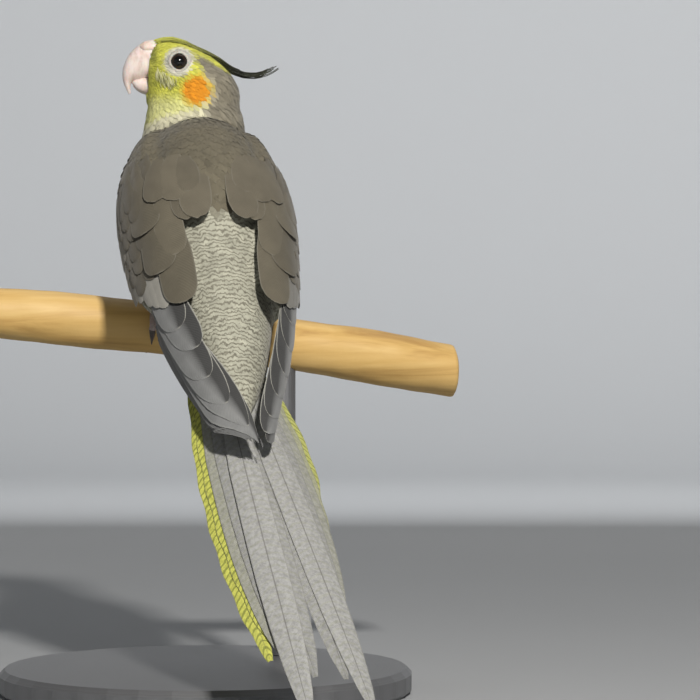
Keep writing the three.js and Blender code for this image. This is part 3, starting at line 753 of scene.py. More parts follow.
def wingCover(points):  # 1 where the wing's own feathers hide the contour coat
    body = toBody(points)
    angle = np.degrees(np.abs(angleOn(wingShape, body)))
    inside = (smooth(angle, 34, 38) * smooth(-angle, -112, -106) * smooth(body[:, 1], -60, -50)
              * smooth(-body[:, 1], -8, -4))
    return inside * (toHead(points)[:, 2] < -30)


def trunkChance(low, high):
    def chance(points):
        body, head = toBody(points), toHead(points)
        angle = np.degrees(np.abs(np.arctan2(body[:, 0], body[:, 2] + 4)))
        return (head[:, 2] < -24.5) * (angle >= low) * (angle < high) * (1 - wingCover(points)) + 1e-9
    return chance


def trunkGap(points):
    body, head = toBody(points), toHead(points)
    gap = mixed(1.15, 1.95, smooth(-head[:, 2], 24, 48))
    return mixed(gap, 1.35, smooth(-body[:, 1], 12, 20))


addContour("headCoat", headGap, headChance, 40000, "face", 0.0)
addContour("backCoat", trunkGap, trunkChance(0, 75), 40000, "body", 0.12)
addContour("breastCoat", trunkGap, trunkChance(75, 181), 60000, "body", 0.1)


# Wings: every kind of feather laid in rows on the folded wing's form
def onWing(points, heights):
    body = toBody(points)
    angle = angleOn(wingShape, body)
    fade = (1 - 0.55 * smooth(np.abs(angle), 1.35, 2.1)) * mixed(0.45, 1, smooth(np.abs(angle), 0.2, 1.0))
    spots, normals = onForm(wingShape, body[:, 1], angle, np.asarray(heights) / mm * fade)
    return fromBody(spots), normals @ bodyAxes.T


quills = {  # root and tip as places along the body and degrees from the back's middle, then width, lift, rise
    "fringe": [((-12, 60), (-42, 55), 6.5, 2.6, 0.3), ((-8, 66), (-40, 61), 6, 2.7, 0.3),
               ((-6, 72), (-37, 67), 6, 2.8, 0.3), ((-2, 80), (-31, 76), 6.5, 2.85, 0.3),
               ((-2, 90), (-27, 85), 7, 2.7, 0.2)],
    "tertial": [((-8, 37), (-44, 41), 13.5, 3.1, 0.5), ((2, 46), (-29, 50), 14, 3.2, 1.1),
                ((14, 51), (-10, 55), 13, 2.7, 2.1), ((4, 38), (-24, 37), 11, 3.4, 0.4)],
    "scapular": [((15, 15), (-11.5, 17), 11.5, 2.6, 2.4), ((14, 23), (-11, 24), 10, 2.4, 1.9),
                 ((20, 27), (-2, 30), 12, 2.9, 1.3), ((20, 37), (0.5, 43), 10, 3.0, 1.4),
                 ((18, 20), (1, 20), 10, 2.9, 0.9)],
}
longQuills = {  # the folded left wing's tip crosses the tail's base, the right wing is seen edge on
    -1: {"primary": [((-40 - k, 80 + 3 * k), (-103 + 0.6 * k, -34 + 9 * k), 7, 0.1 - 0.12 * k, 0.3)
                     for k in range(5)],
         "secondary": [((-34, 74), (-101.5, -24), 10, 0.5, 0.2), ((-32, 72), (-95.5, -2), 11, 0.8, 0.3),
                       ((-30, 70), (-86, 30), 11.5, 1.1, 0.3), ((-26, 68), (-74.5, 44), 12, 1.4, 0.3),
                       ((-18, 64), (-62, 43), 12.5, 1.7, 0.3), ((-10, 62), (-52, 53), 12.5, 2.0, 0.3)]},
    1: {"primary": [((-42 - k, 84 + 3 * k), (-100 + 0.7 * k, 52 + 4 * k), 7, 0.1 - 0.12 * k, 0.3)
                    for k in range(5)],
        "secondary": [((-34, 70), (-97, 44), 10, 0.5, 0.3), ((-32, 68), (-90, 52), 10.5, 0.8, 0.3),
                      ((-28, 66), (-80, 62), 11, 1.1, 0.3), ((-22, 64), (-69, 66), 11.5, 1.4, 0.3),
                      ((-16, 62), (-57, 66), 12, 1.7, 0.3), ((-10, 60), (-46, 64), 12, 2.0, 0.3)]},
}
covertRows = [  # place of the roots, length, width, lift, first and last degrees
    (-10, 19, 8.5, 2.9, 58, 97), (-4, 18, 8, 3.1, 56, 102), (2, 17, 7.6, 3.3, 58, 108),
    (8, 16, 7.4, 3.5, 56, 114), (13, 14, 7, 3.6, 54, 114), (18, 13, 6.5, 3.6, 47, 114),
    (22, 12.5, 6.2, 3.3, 48, 112), (26, 12, 6, 2.8, 50, 110), (30, 11.5, 5.8, 2.4, 53, 108),
    (34, 11, 5.6, 1.9, 58, 106), (38, 10.5, 5.4, 1.4, 64, 104), (42, 10, 5, 0.6, 66, 102),
    (46, 9, 5, -0.6, 62, 104),
]
covertLook = {"overlap": 0.62, "jump": 0.8, "liftJitter": 0.08, "dip": 1.4, "dipReach": 16, "dipFrom": 14,
              "rise": 0.45, "frontRise": 0.65, "frontFrom": 20}
quillShapes = {
    "long": {"rows": 1 - (1 - np.linspace(0, 1, 17)) ** 1.7, "columns": [-1, -0.65, -0.3, 0, 0.3, 0.65, 1],
             "outline": [(0, 0.3), (0.15, 0.75), (0.4, 0.97), (0.6, 1), (0.8, 0.96), (0.88, 0.86),
                         (0.94, 0.67), (0.98, 0.42), (1, 0.14)],
             "round": 0.0, "sink": 0.0, "rise": 0.0, "crown": 0.35},
    "short": {"rows": [0, 0.3, 0.55, 0.75, 0.88, 0.96, 1], "columns": [-1, -0.6, -0.2, 0.2, 0.6, 1],
              "outline": [(0, 0.4), (0.3, 0.9), (0.55, 1), (0.75, 0.98), (0.88, 0.8), (0.96, 0.55),
                          (1, 0.22)],
              "round": 0.02, "ragged": 0.008, "sink": 0.0, "rise": 0.0, "crown": 0.3},
}
quillLooks = {  # the vanes' shape, the tone, the pale edge's share and the tone of the outer web
    "primary": ("long", (0.045, 0.045, 0.044), 0.5, (0.13, 0.132, 0.13)),
    "secondary": ("long", (0.045, 0.045, 0.044), 0.75, (0.19, 0.193, 0.19)),
    "fringe": ("long", (0.27, 0.26, 0.23), 0.35, None),
    "tertial": ("long", (0.108, 0.095, 0.067), 0.14, None),
    "scapular": ("short", (0.115, 0.101, 0.072), 0.12, None),
    "covert": ("short", (0.108, 0.095, 0.068), 0.1, None),
}
# rightFringeShade darkens the right wing's fringe feathers as painted shade
wingLook = {"thick": 0.22, "roof": -0.28, "toneJitter": 0.05, "rightFringeShade": 0.62,
            "paleCovert": (0.47, 0.46, 0.42)}


def layQuills(side, kind, table):
    shape, tone, edge, outerWeb = quillLooks[kind]
    rows = np.array([[*root, *tip, width, lift, rise] for root, tip, width, lift, rise in table], float)
    rows[:, [1, 3]] += rng.normal(0, 0.5, (len(rows), 2))
    width, lift, rise = rows[:, 4] * mm, rows[:, 5], rows[:, 6]
    start, end = (fromBody(onForm(wingShape, rows[:, k], side * np.radians(rows[:, k + 1]), lift)[0])
                  for k in (0, 2))
    middles = toBody((start + end) / 2)
    out = onForm(wingShape, middles[:, 1], angleOn(wingShape, middles))[1] @ bodyAxes.T
    way, length = unit(end - start), np.linalg.norm(end - start, axis=1)

    def settle(points, heights):
        spots = points.reshape(len(rows), -1, 3) - start[:, None]
        along = (spots * way[:, None]).sum(2) / length[:, None]
        across = (spots * unit(np.cross(end - start, out))[:, None]).sum(2) / (width[:, None] / 2)
        grown = lift[:, None] + rise[:, None] * np.clip(along, 0, 1) ** 1.5 + wingLook["roof"] * side * across
        return onWing(points, heights + grown.ravel() * mm)

    laid = layVanes(start, way, out, length, width, quillShapes[shape], settle, wingLook["thick"])
    owner, local = laid["owner"], laid["vane"]
    tint = np.tile(tone, (len(owner), 1)) * rng.normal(1, wingLook["toneJitter"], (len(rows), 1))[owner]
    laid["local"] = local
    laid["vane"] = np.stack([local[:, 0], 1 - (1 - local[:, 1]) / ((width / length)[owner] * 0.9)], -1)
    # painted shade: the right wing's fringe feathers are painted darker than the left wing's
    if kind == "fringe" and side > 0:
        tint = tint * wingLook["rightFringeShade"]
    if outerWeb:
        lateral = smooth(side * (0.5 - local[:, 0]), -0.1, 0.08)
        edge = edge * (1 - 0.85 * lateral)
        tint = blended(tint, outerWeb, lateral)
    if kind == "covert":
        tip, angle = rows[owner, 2], rows[owner, 3]
        pale = smooth(angle, 74, 92) * smooth(tip, -40, -28) * (1 - smooth(tip, 12, 24))
        tint = blended(tint, wingLook["paleCovert"], pale * rng.uniform(0.25, 0.9, len(rows))[owner])
    return laid, start, {"tint": tint, "edge": edge}


def covertQuills():
    coverts, look = [], covertLook
    for place, length, width, lift, low, high in covertRows:
        half = float(readStations(wingShape, np.array(float(place)))[0])
        count = int((high - low) / math.degrees(width * look["overlap"] / half))
        rise = look["rise"] + look["frontRise"] * max(0, 3.3 - lift) * (place > look["frontFrom"])
        for k in range(count):
            angle = low + (high - low) * (k + 0.5 * (place % 2)) / count
            root = place + rng.uniform(-look["jump"], look["jump"])
            # a row's inner end lies down on the back
            dip = look["dip"] * (1 - float(smooth(angle, low, low + look["dipReach"])))
            dip = dip * (place > look["dipFrom"])
            height = lift - dip + rng.uniform(-look["liftJitter"], look["liftJitter"])
            tip = (root - length, angle + 1.5 - 0.05 * (angle - 40))
            coverts.append(((root, angle), tip, width, height, rise))
    return coverts


for side, name in ((-1, "Left"), (1, "Right")):
    tables = {**quills, **longQuills[side], "covert": covertQuills()}
    groups = [layQuills(side, kind, tables[kind]) for kind in quillLooks]
    wing = coatPiece("wingCoat" + name, groups)
    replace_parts(wing, "wing_" + name.lower())


# Tail: long feathers in pairs, each under the next one nearer the middle
tailPairs = [  # left and right lengths, then distance from the middle at the root and at the tip, and width
    (146, 146, 2.2, 10, 10.5), (130, 132, 3, 4.6, 11), (123, 120, 6.2, 9, 10.5), (117, 104, 8.2, 12, 10),
    (113, 84, 10, 13, 9.5), (118, 64, 11.5, 15, 8.5),
]
tailAxes = turned(-bird["tailTurn"], "Z")
tail = {
    "rows": np.linspace(0, 1, 56), "columns": np.array([-1, -0.7, -0.35, -0.05, 0.05, 0.35, 0.7, 1]),
    "outline": [(0, 0.5), (0.3, 0.95), (0.5, 1), (0.62, 0.99), (0.74, 0.9), (0.85, 0.72), (0.93, 0.5),
                (1, 0.14)],
    "thick": 0.3, "drop": 0.62, "crown": 0.34, "groove": 0.12,
    "middle": (0.36, 0.36, 0.35), "inner": (0.31, 0.31, 0.30), "yellow": (0.58, 0.59, 0.115),
    "yellowShares": {-1: (0, 0, 0, 0.08, 1.0, 1.0), 1: (0, 0, 0, 0.08, 0.3, 1.0)}, "rightYellow": 0.75,
    "barGap": 0.0027, "barTone": (0.21, 0.23, 0.045), "shaftTone": (0.09, 0.085, 0.08),
    "rimTone": (0.12, 0.115, 0.105), "barbGap": 0.0006,
}


def layTail():
    v, u = np.meshgrid(tail["rows"], tail["columns"], indexing="ij")
    grid = vaneGrid(tail["rows"], tail["columns"])
    spread = grid[1]
    share = np.interp(v, *zip(*tail["outline"]))
    parts = {"points": [], "tint": [], "edge": [], "reach": [], "OFBake": []}
    for rank, (left, right, root, tip, width) in enumerate(tailPairs):
        for side, length in ((-1, left), (1, right)):
            wave = 0.25 * np.sin(v * length * 0.35 + rank) * (rank > 3)
            y = -length * v
            x = side * (mixed(root, tip, v**0.7) + 0.5 * rank * np.sin(np.pi * v))
            x = x + u * (width * share / 2 + wave)
            drop = tail["drop"] * rank + (tail["drop"] / 2 if side > 0 else 0)
            z = -0.014 * x * x - 0.00004 * y * y - drop + tail["crown"] * (1 - u * u)
            z = z - tail["groove"] * np.exp(-(u / 0.06) ** 2)
            z += 0.05 * np.sin(y * 1.3 + 3 * u)
            parts["points"].append(bothSides(stack(x, y, z), (0, 0, tail["thick"])))
            yellow = tail["yellowShares"][side][rank] * (tail["rightYellow"] if side > 0 else 1)
            base = tail["middle" if rank == 0 else "inner"]
            outer = smooth(side * (spread[:, 0] - 0.5) * 2, -0.6, 0.1) if rank < 5 else np.ones(len(spread))
            parts["tint"].append(blended(base, tail["yellow"], yellow * outer))
            parts["edge"].append(np.full(len(spread), 0.15 if yellow < 0.5 else 1.0))
            parts["reach"].append(spread[:, 1] * length * 0.001)
            column = np.array([0.02 + 0.08 * (2 * rank + (side > 0)), 0.02])
            parts["OFBake"].append(column + spread * (0.07, 0.95))
    parts = {key: np.concatenate(values) for key, values in parts.items()}
    laid = joinVanes(fromBody(parts.pop("points") @ tailAxes.T + bird["tailRoot"]), grid)
    made = meshFromArrays("tailCoat", {**laid, **parts}, ("tint", "edge", "reach"), tailMaterial)
    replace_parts(made, "tail")


tailMaterial, g = newMaterial("tailPlumage", 0.62, Specular_IOR_Level=0.35)
side, _ = g.vane()
tint, barred, reach = g.attribute("tint", "Color"), g.attribute("edge"), g.attribute("reach")
curl = g.fit(g.math("POWER", side, 2.0), -0.0024, reach)
bar = g.waves(curl, math.tau / tail["barGap"], g.times(g.noise(260.0, 3), 7.0))
barShare = g.times(g.fit(bar, 2.6, -1.0, clamp=True), barred, clamp=True)
mottle = g.ramp(g.noise(700.0, 4, roughness=0.7), [(0.35, (0.55, 0.55, 0.55)), (0.62, (1, 1, 1))])
colour = g.mix(0.7, tint, g.mix(1.0, tint, mottle, "MULTIPLY"))
colour = g.mix(g.times(barShare, 0.85), colour, tail["barTone"])
shaft = g.fit(side, -16.0, 1.0, clamp=True)
colour = g.mix(g.times(shaft, 0.75), colour, tail["shaftTone"])
rim = g.fit(side, 14.0, -13.0, clamp=True)
g.colour(g.mix(g.times(rim, 0.55), colour, tail["rimTone"]))
barb = g.math("SINE", g.times(g.fit(side, -0.004, reach), math.tau / tail["barbGap"]))
g.bump(barb, 0.00006, 0.5)
layTail()
print("wings and tail laid")


# Smooth closed forms: a grid wrapped round a path, its two ends drawn shut
def wrapMesh(name, rows, columns, place):
    bm = bmesh.new()
    bmesh.ops.create_grid(bm, x_segments=columns, y_segments=rows, size=0.5)
    flat = np.array([vert.co[:2] for vert in bm.verts]) + 0.5
    for vert, spot in zip(bm.verts, place(flat[:, 1], flat[:, 0] * math.tau)):
        vert.co = spot
    bmesh.ops.remove_doubles(bm, verts=bm.verts, dist=1e-6)
    bmesh.ops.holes_fill(bm, edges=[edge for edge in bm.edges if edge.is_boundary])
    bmesh.ops.recalc_face_normals(bm, faces=bm.faces)
    return smoothed(bm, name)


def wrapPiece(name, rows, columns, place, material):
    made = addObject(name, wrapMesh(name, rows, columns, place))
    made.data.materials.append(material)
    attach(made, "root")
    return made


def through(table, t):  # a smooth curve through the rows of a table, t running from 0 to 1
    rows = np.array(table, float)
    place = np.clip(t, 0, 1) * (len(rows) - 1)
    k = np.minimum(place.astype(int), len(rows) - 2)
    f = (place - k)[:, None]
    a, b = rows[k], rows[k + 1]
    before, after = rows[np.maximum(k - 1, 0)], rows[np.minimum(k + 2, len(rows) - 1)]
    return 0.5 * ((2 * a) + (b - before) * f + (2 * before - 5 * a + 4 * b - after) * f**2
                  + (3 * a - before - 3 * b + after) * f**3)


# Beak: outer and inner line of each half as (y, z) pairs in the head's frame, then half the width
upperBeak = [(7.5, 8, 7.5, -4.2, 5.4), (11.5, 8.8, 11.2, -4.9, 5.6), (15.4, 7.1, 13.6, -5.3, 5.2),
             (18.9, 3.7, 15.6, -5.6, 4.6), (21, -0.8, 17.2, -5.9, 3.7), (21.3, -5, 18.2, -6.9, 2.5),
             (20.3, -8.4, 18.4, -8.6, 1.4), (19, -10.8, 18.2, -10.4, 0.3)]
lowerBeak = [(7.5, -4.2, 8.5, -10.8, 4.2), (11.5, -4.5, 11.2, -11.0, 4.4), (14.8, -4.9, 13.7, -10.7, 3.9),
             (17.2, -5.7, 15.9, -9.6, 2.8), (18.0, -6.3, 17.2, -8.3, 1.0)]
cere = [  # place, top, underside and half width
    (7.6, 8.2, 3.6, 4.6), (9.2, 8.9, 3.0, 5.4), (11.4, 9.0, 2.9, 5.7), (13.2, 8.5, 3.2, 5.35),
    (14.6, 7.6, 4.6, 4.0),
]
# The nostrils are shallow dents in the cere; their openings are painted dark brown as painted shade in the
# hollows
nostril = {"spot": (3.75, 12.1, 6.9), "reach": 0.85, "deep": 0.8, "lipAt": 1.25, "lipWide": 0.45, "lip": 0.18,
           "inset": 0.5, "nostrilShadeReach": 0.75}


def shellPlace(table, power):
    def place(v, a):
        row = through(table, v)
        outer, inner = row[:, 0:2], row[:, 2:4]
        middle, reach = (outer + inner) / 2, (outer - inner) / 2
        cos, sin = np.cos(a), np.sin(a)
        swell = np.abs(sin) ** power * np.sign(sin)
        yz = middle + reach * cos[:, None]
        return fromHead(stack(row[:, 4] * swell, yz[:, 0], yz[:, 1]))
    return place


def cerePlace(v, a):
    y, top, low, half = through(cere, v).T
    middle, high = (top + low) / 2, (top - low) / 2
    point = stack(half * np.sin(a), y, middle + high * np.cos(a))
    for side in (-1, 1):
        away = np.linalg.norm(point - np.array(nostril["spot"]) * (side, 1, 1), axis=1)
        dent = np.exp(-(away / nostril["reach"]) ** 2)
        lip = np.exp(-((away - nostril["lipAt"]) / nostril["lipWide"]) ** 2)
        inward = -side * dent * nostril["deep"] + side * lip * nostril["lip"]
        point = point + stack(inward, 0, 0)
    return fromHead(point)


beakMaterial, g = newMaterial("beakHorn", 0.34, Subsurface_Weight=0.25, Subsurface_Scale=0.002,
                              Coat_Weight=0.12)
grain = g.noise(260.0, 4, g.placed(turn=(0, 0, -math.radians(bird["headTurn"])), scale=(2.2, 0.5, 1)))
g.colour(g.ramp(grain, [(0.32, (0.70, 0.56, 0.50)), (0.5, (0.82, 0.70, 0.65)), (0.7, (0.88, 0.79, 0.74))]))
g.bump(grain, 0.0002, 0.35)
cereMaterial, g = newMaterial("cereSkin", 0.5, Subsurface_Weight=0.3, Subsurface_Scale=0.0015)
# painted shade: the cere's colour turns dark brown in the nostril openings
dark = g.attribute("dark")
soft, tone = g.speckle(900.0, (0.70, 0.55, 0.47), (0.80, 0.68, 0.60))
g.colour(g.mix(dark, tone, (0.16, 0.09, 0.07)))
g.bump(soft, 0.0002, 0.5)
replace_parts(wrapPiece("upperBeak", 44, 40, shellPlace(upperBeak, 0.85), beakMaterial), "beak_upper")
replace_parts(wrapPiece("lowerBeak", 26, 32, shellPlace(lowerBeak, 0.85), beakMaterial), "beak_lower")
cerePiece = wrapPiece("cere", 30, 48, cerePlace, cereMaterial)
head = toHead(vertexValues(cerePiece))
# painted shade at each nostril opening, strongest at its middle
shares = []
for side in (-1, 1):
    spot = np.array(nostril["spot"]) * (side, 1, 1) - (side * nostril["inset"], 0, 0)
    shares.append(np.exp(-(np.linalg.norm(head - spot, axis=1) / nostril["nostrilShadeReach"]) ** 4))
setValues(cerePiece.data, "dark", np.max(shares, axis=0))

# Eyes sit in the sockets of the skin, each behind a wrinkled ring of bare lid
eye = {"radius": 3.1, "aside": 10.3, "bulge": 0.03}
lid = {"aside": 11.85, "radius": 3.32, "thick": 0.42, "beads": 30, "beadHeight": 0.1, "skirt": 0.75}
eyeMaterial, g = newMaterial("eyeBall", 0.12, Specular_IOR_Level=0.5)
black, brown = (0.003, 0.003, 0.003), (0.022, 0.011, 0.006)
g.colour(g.ramp(g.attribute("fromAxis"), [(0.0, (0.002, 0.002, 0.002)), (0.55, black), (0.6, brown),
                                          (0.85, (0.012, 0.006, 0.004)), (0.93, black)]))
lidMaterial, g = newMaterial("lidSkin", 0.62, Subsurface_Weight=0.2, Subsurface_Scale=0.001)
soft, tone = g.speckle(1400.0, (0.36, 0.34, 0.30), (0.60, 0.575, 0.51))
g.colour(tone)
g.bump(soft, 0.0002, 0.6)


def eyePlace(side):
    def place(v, a):
        turn = np.pi * v
        bulge = 1 + eye["bulge"] * smooth(np.cos(turn), 0.75, 1)
        out = eye["radius"] * np.sin(turn)
        aside = eye["aside"] + eye["radius"] * np.cos(turn) * bulge
        return fromHead(stack(side * aside, out * np.cos(a), out * np.sin(a)))
    return place


def lidPlace(side):
    def place(v, a):
        turn = math.tau * v
        bead = 1 + lid["beadHeight"] * np.cos(lid["beads"] * a) * (0.5 + 0.5 * np.cos(turn))
        skirt = smooth(np.cos(turn), 0.1, 1.0)  # the outer rim spreads down onto the face
        radius = lid["radius"] + lid["thick"] * bead * np.cos(turn) * 1.3 + lid["skirt"] * skirt
        aside = lid["aside"] - 0.16 * (np.abs(np.sin(a)) ** 2) + lid["thick"] * bead * np.sin(turn) * 0.8
        aside = aside - skirt * (1.1 + 2.0 * np.maximum(0, np.sin(a)) + 0.3 * np.abs(np.cos(a)))
        stretch = 1 + 0.03 * np.cos(2 * a)
        return fromHead(stack(side * aside, radius * np.cos(a) * stretch, radius * np.sin(a) / stretch))
    return place


for side, name in ((-1, "left"), (1, "right")):
    ball = wrapPiece("eyeBall_" + name, 24, 32, eyePlace(side), eyeMaterial)
    head = toHead(vertexValues(ball))
    setValues(ball.data, "fromAxis", np.hypot(head[:, 1], head[:, 2]) / eye["radius"])
    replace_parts(ball, "eye_" + name)
    wrapPiece("lid_" + name, 12, 104, lidPlace(side), lidMaterial)

# Crest: slim feathers from the forehead and crown that lie back and curl up at their tips
crestLine = [  # place and height, from the tip to the forehead
    (-36, 0.6), (-34.2, -0.8), (-30.2, -2.8), (-27, -3.4), (-23, -2.9), (-18.4, -1.0), (-14.2, 2.1),
    (-9, 5.1), (-2, 8.6), (3, 10.0), (7, 10.0), (10, 9.2), (12, 8.2),
]
crest = {
    "strands": 150, "rows": 15, "columns": 5, "front": 12.0, "back": -9.0, "tip": -35.5, "tipScatter": 14,
    "reach": (17, 24), "spread": 6.4, "width": 1.6, "thick": 0.12, "fans": (-1.5, -1.1, 0.8, 1.5),
    "root": (0.46, 0.47, 0.06), "olive": (0.30, 0.31, 0.045), "dark": (0.028, 0.031, 0.024),
}


def layCrest():
    count = crest["strands"]
    rows, columns = np.linspace(0, 1, crest["rows"]), np.linspace(-1, 1, crest["columns"])
    t, u = np.meshgrid(rows, columns, indexing="ij")
    points, tint, roots = [], [], []
    for k in range(count):
        share = (k / (count - 1)) ** 0.8
        start = mixed(crest["front"], crest["back"], share)
        tip = crest["tip"] + crest["tipScatter"] * rng.random() ** 0.9
        reach = start - max(tip, start - rng.uniform(*crest["reach"]) - 16 * share)
        side = rng.uniform(-1, 1)
        y = start - reach * t
        spread = side * (crest["spread"] - 3.4 * share) * (1 - 0.78 * smooth(-y, -2, 24))
        width = (crest["width"] - 0.6 * share) * (1 - 0.45 * smooth(-y, 16, 30))
        width = width * np.clip(1.0 - t**1.7, 0.05, 1) * (0.6 + 0.4 * np.minimum(1, t * 6))
        level = rng.uniform(-1.5, 0.5) - 0.10 * (spread**2) * (1 - smooth(-y, 4, 16))
        fan = rng.choice(crest["fans"]) * smooth(-y, 18, 34)
        lift = 0.7 * smooth(t, 0.0, 0.4) * smooth(y, -6, 0) + fan
        level = level * (0.6 + 0.9 * smooth(-y, 4, 12) - 0.9 * smooth(-y, 17, 30))
        z = np.interp(y, *zip(*crestLine)) - 0.35 + level + lift * 0.5 + 0.18 * (1 - u**2)
        x = spread + u * width / 2 + rng.uniform(-0.7, 0.7) * t**2
        upper = stack(x, y - 0.25 * u * u, z - 0.25 * np.abs(u) * width / 2)
        points.append(bothSides(upper, (0, 0, crest["thick"])))
        back = -points[-1][:, 1]
        colour = blended(crest["root"], crest["olive"], smooth(back, 0, 10))
        colour = blended(colour, crest["dark"], smooth(back, 9, 21) * 0.97)
        tint.append(colour * rng.uniform(0.5, 1.3))
        roots.append(upper[0, crest["columns"] // 2])
    laid = joinVanes(fromHead(np.concatenate(points)), vaneGrid(rows, columns))
    group = (laid, fromHead(np.array(roots)), {"tint": np.concatenate(tint)})
    made = coatPiece("crestCoat", [group])
    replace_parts(made, "crest")


layCrest()
print("beak, eyes and crest made")

# Whiskery tufts between the eye and the corner of the mouth
whiskers = {
    "count": 90, "aside": 11.5, "from": (9.6, -3.2), "to": (2.5, -6.6), "scatter": (0.9, 1.1), "length": 3.8,
    "width": 0.3, "height": 0.0002, "way": (0, -0.35, -1.0), "wayJitter": 0.16, "darkShare": 0.45,
    "dark": (0.25, 0.25, 0.11), "pale": (0.60, 0.59, 0.30),
}
share = rng.uniform(0, 1, whiskers["count"])
spots = [np.full(len(share), whiskers["aside"])]
for first, last, scattered in zip(whiskers["from"], whiskers["to"], whiskers["scatter"]):
    spots.append(mixed(first, last, share) + rng.normal(0, scattered, len(share)))
spots = np.stack(spots, -1)
spots = np.concatenate([spots * (-1, 1, 1), spots])
roots, normals = onSkin(fromHead(spots), whiskers["height"])
way = headAxes @ np.array(whiskers["way"]) + rng.normal(0, whiskers["wayJitter"], (len(roots), 3))
way = alongSurface(way, normals)
laid = layVanes(roots, way, normals, rng.uniform(0.6, 1.2, len(roots)) * whiskers["length"] * mm,
                np.full(len(roots), whiskers["width"] * mm),
                dict(vaneShapes["face"], sink=0.25, rise=0.5, lifted=0.25), onSkin, 0.1,
                rng.uniform(-1, 1, len(roots)))
pale = np.where(rng.random(len(roots)) < whiskers["darkShare"], 0.0, 1.0)
tint = blended(whiskers["dark"], whiskers["pale"], pale)
coatPiece("whiskers", [(laid, roots, {"tint": tint})])

# Perch: a smooth debarked branch with faint knots, its cut ends showing the rings of the wood
perch = {
    "from": -92.0, "to": 98.0, "radius": 9.5, "slope": -0.115, "bevel": 0.9, "cap": 0.06,
    "knots": [(62, 0.6, 1.3), (-58, 2.3, 0.9), (31, -1.2, 0.7)],  # place, angle and height
}


def branchMiddle(x):
    return stack(x, 0.0006 * x * x, perch["slope"] * x - 0.0003 * x * x)


def perchPlace(v, a):
    # the first and last rows close the cut ends, the next ones round their edges
    x = mixed(perch["from"], perch["to"], np.clip((v - perch["cap"]) / (1 - 2 * perch["cap"]), 0, 1))
    fromEnd = np.minimum(x - perch["from"], perch["to"] - x)
    radius = perch["radius"] + 0.25 * np.sin(x / 9) + 0.004 * x
    for high, wave in ((0.16, 3 * a + x / 17), (0.07, 7 * a - x / 6.5), (0.05, x / 2.1 + 2 * a)):
        radius = radius + high * np.sin(wave)
    for place, angle, high in perch["knots"]:
        turn = (a - angle + np.pi) % math.tau - np.pi
        away = np.hypot((x - place) / 5.5, turn * perch["radius"] / 4.5)
        radius = radius + high * (np.exp(-away**2) - 0.55 * np.exp(-(away * 2.6) ** 2))
    radius = radius - perch["bevel"] * (1 - np.sqrt(np.clip(fromEnd / perch["bevel"], 0, 1)))
    radius = radius * np.clip(np.minimum(v, 1 - v) / perch["cap"], 0, 1)
    point = branchMiddle(x) + stack(0, radius * np.sin(a), radius * np.cos(a))
    return (point + perchMiddle) * mm


woodMaterial, g = newMaterial("paleWood", 0.52, Specular_IOR_Level=0.35)
alongBranch = g.placed(scale=(9, 190, 190), turn=(0, math.atan(-perch["slope"]), 0))
grain = g.noise(1.0, 5, alongBranch, distortion=0.6)
cloudy = g.noise(28.0, 3)
base = g.ramp(grain, [(0.28, (0.38, 0.21, 0.055)), (0.48, (0.60, 0.385, 0.125)), (0.68, (0.71, 0.49, 0.19))])
wood = g.mix(g.times(cloudy, 0.5), base, (0.66, 0.43, 0.17))
core, ends = g.attribute("core"), g.attribute("cutEnd")
rings = g.waves(core, 62.0, g.times(g.noise(90.0, 3), 5.0))
endWood = g.ramp(g.fit(rings, 0.5, 0.5), [(0.0, (0.36, 0.2, 0.075)), (0.6, (0.58, 0.38, 0.17))])
g.colour(g.mix(ends, wood, endWood))
g.bump(g.math("ADD", grain, g.times(g.noise(600.0, 3), 0.3)), 0.0005, 0.4)
branch = wrapPiece("branch", 240, 64, perchPlace, woodMaterial)
local = vertexValues(branch) / mm - perchMiddle
setValues(branch.data, "core", np.linalg.norm(local - branchMiddle(local[:, 0]), axis=1) / 10)
fromEnd = np.minimum(local[:, 0] - perch["from"], perch["to"] - local[:, 0])
setValues(branch.data, "cutEnd", fromEnd < 0.05)
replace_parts(branch, "perch")

# Feet: scaly grey-pink toes that grip the branch, two forwards and two back, with dark claws
foot = {"side": 11.5, "toeRadius": 1.75, "shankRadius": 2.3, "scute": 1.25, "voxel": 0.00032, "softness": 0.4}
toes = {  # shift along the branch, first and last degrees round it from the top, and how far the toe splays
    "inner_front": (-2.4, 12, 112, -1.6), "outer_front": (2.2, 12, 122, 2.4),
    "inner_back": (-2.0, -14, -78, -2.0), "outer_back": (2.6, -14, -100, 2.2),
}
claw = {"reach": 34, "start": 8, "radii": (1.25, 1.1, 0.8, 0.4, 0.12)}


def roundBranch(side, toe, t, lift):
    shift, first, last, splay = toe
    turn = np.radians(mixed(first, last, t))
    x = side * (foot["side"] + shift + splay * t)
    outward = stack(0, np.sin(turn), np.cos(turn))
    return branchMiddle(x) + outward * np.asarray(perch["radius"] + 0.5 + lift)[..., None], outward


def tubeRound(path, outward, radius, a):
    aside = stack(radius * np.sin(a), 0, 0)
    return (path + outward * (radius * np.cos(a))[:, None] + aside + perchMiddle) * mm


def roundEnds(v):
    return np.sqrt(np.clip(np.minimum(v, 1 - v) * 14, 0, 1))


def toePlace(side, toe):
    reach = math.radians(abs(toe[2] - toe[1])) * perch["radius"]

    def place(v, a):
        middle, outward = roundBranch(side, toe, v, foot["toeRadius"] * 0.9)
        pads = 0.16 * np.cos(math.tau * v * 3) * (np.cos(a) < 0)
        rows = 0.09 * np.abs(np.sin(np.pi * v * reach / foot["scute"])) * (np.cos(a) > -0.3)
        radius = (foot["toeRadius"] * (1 - 0.22 * v) + pads + rows) * roundEnds(v)
        return tubeRound(middle, outward, radius, a)
    return place


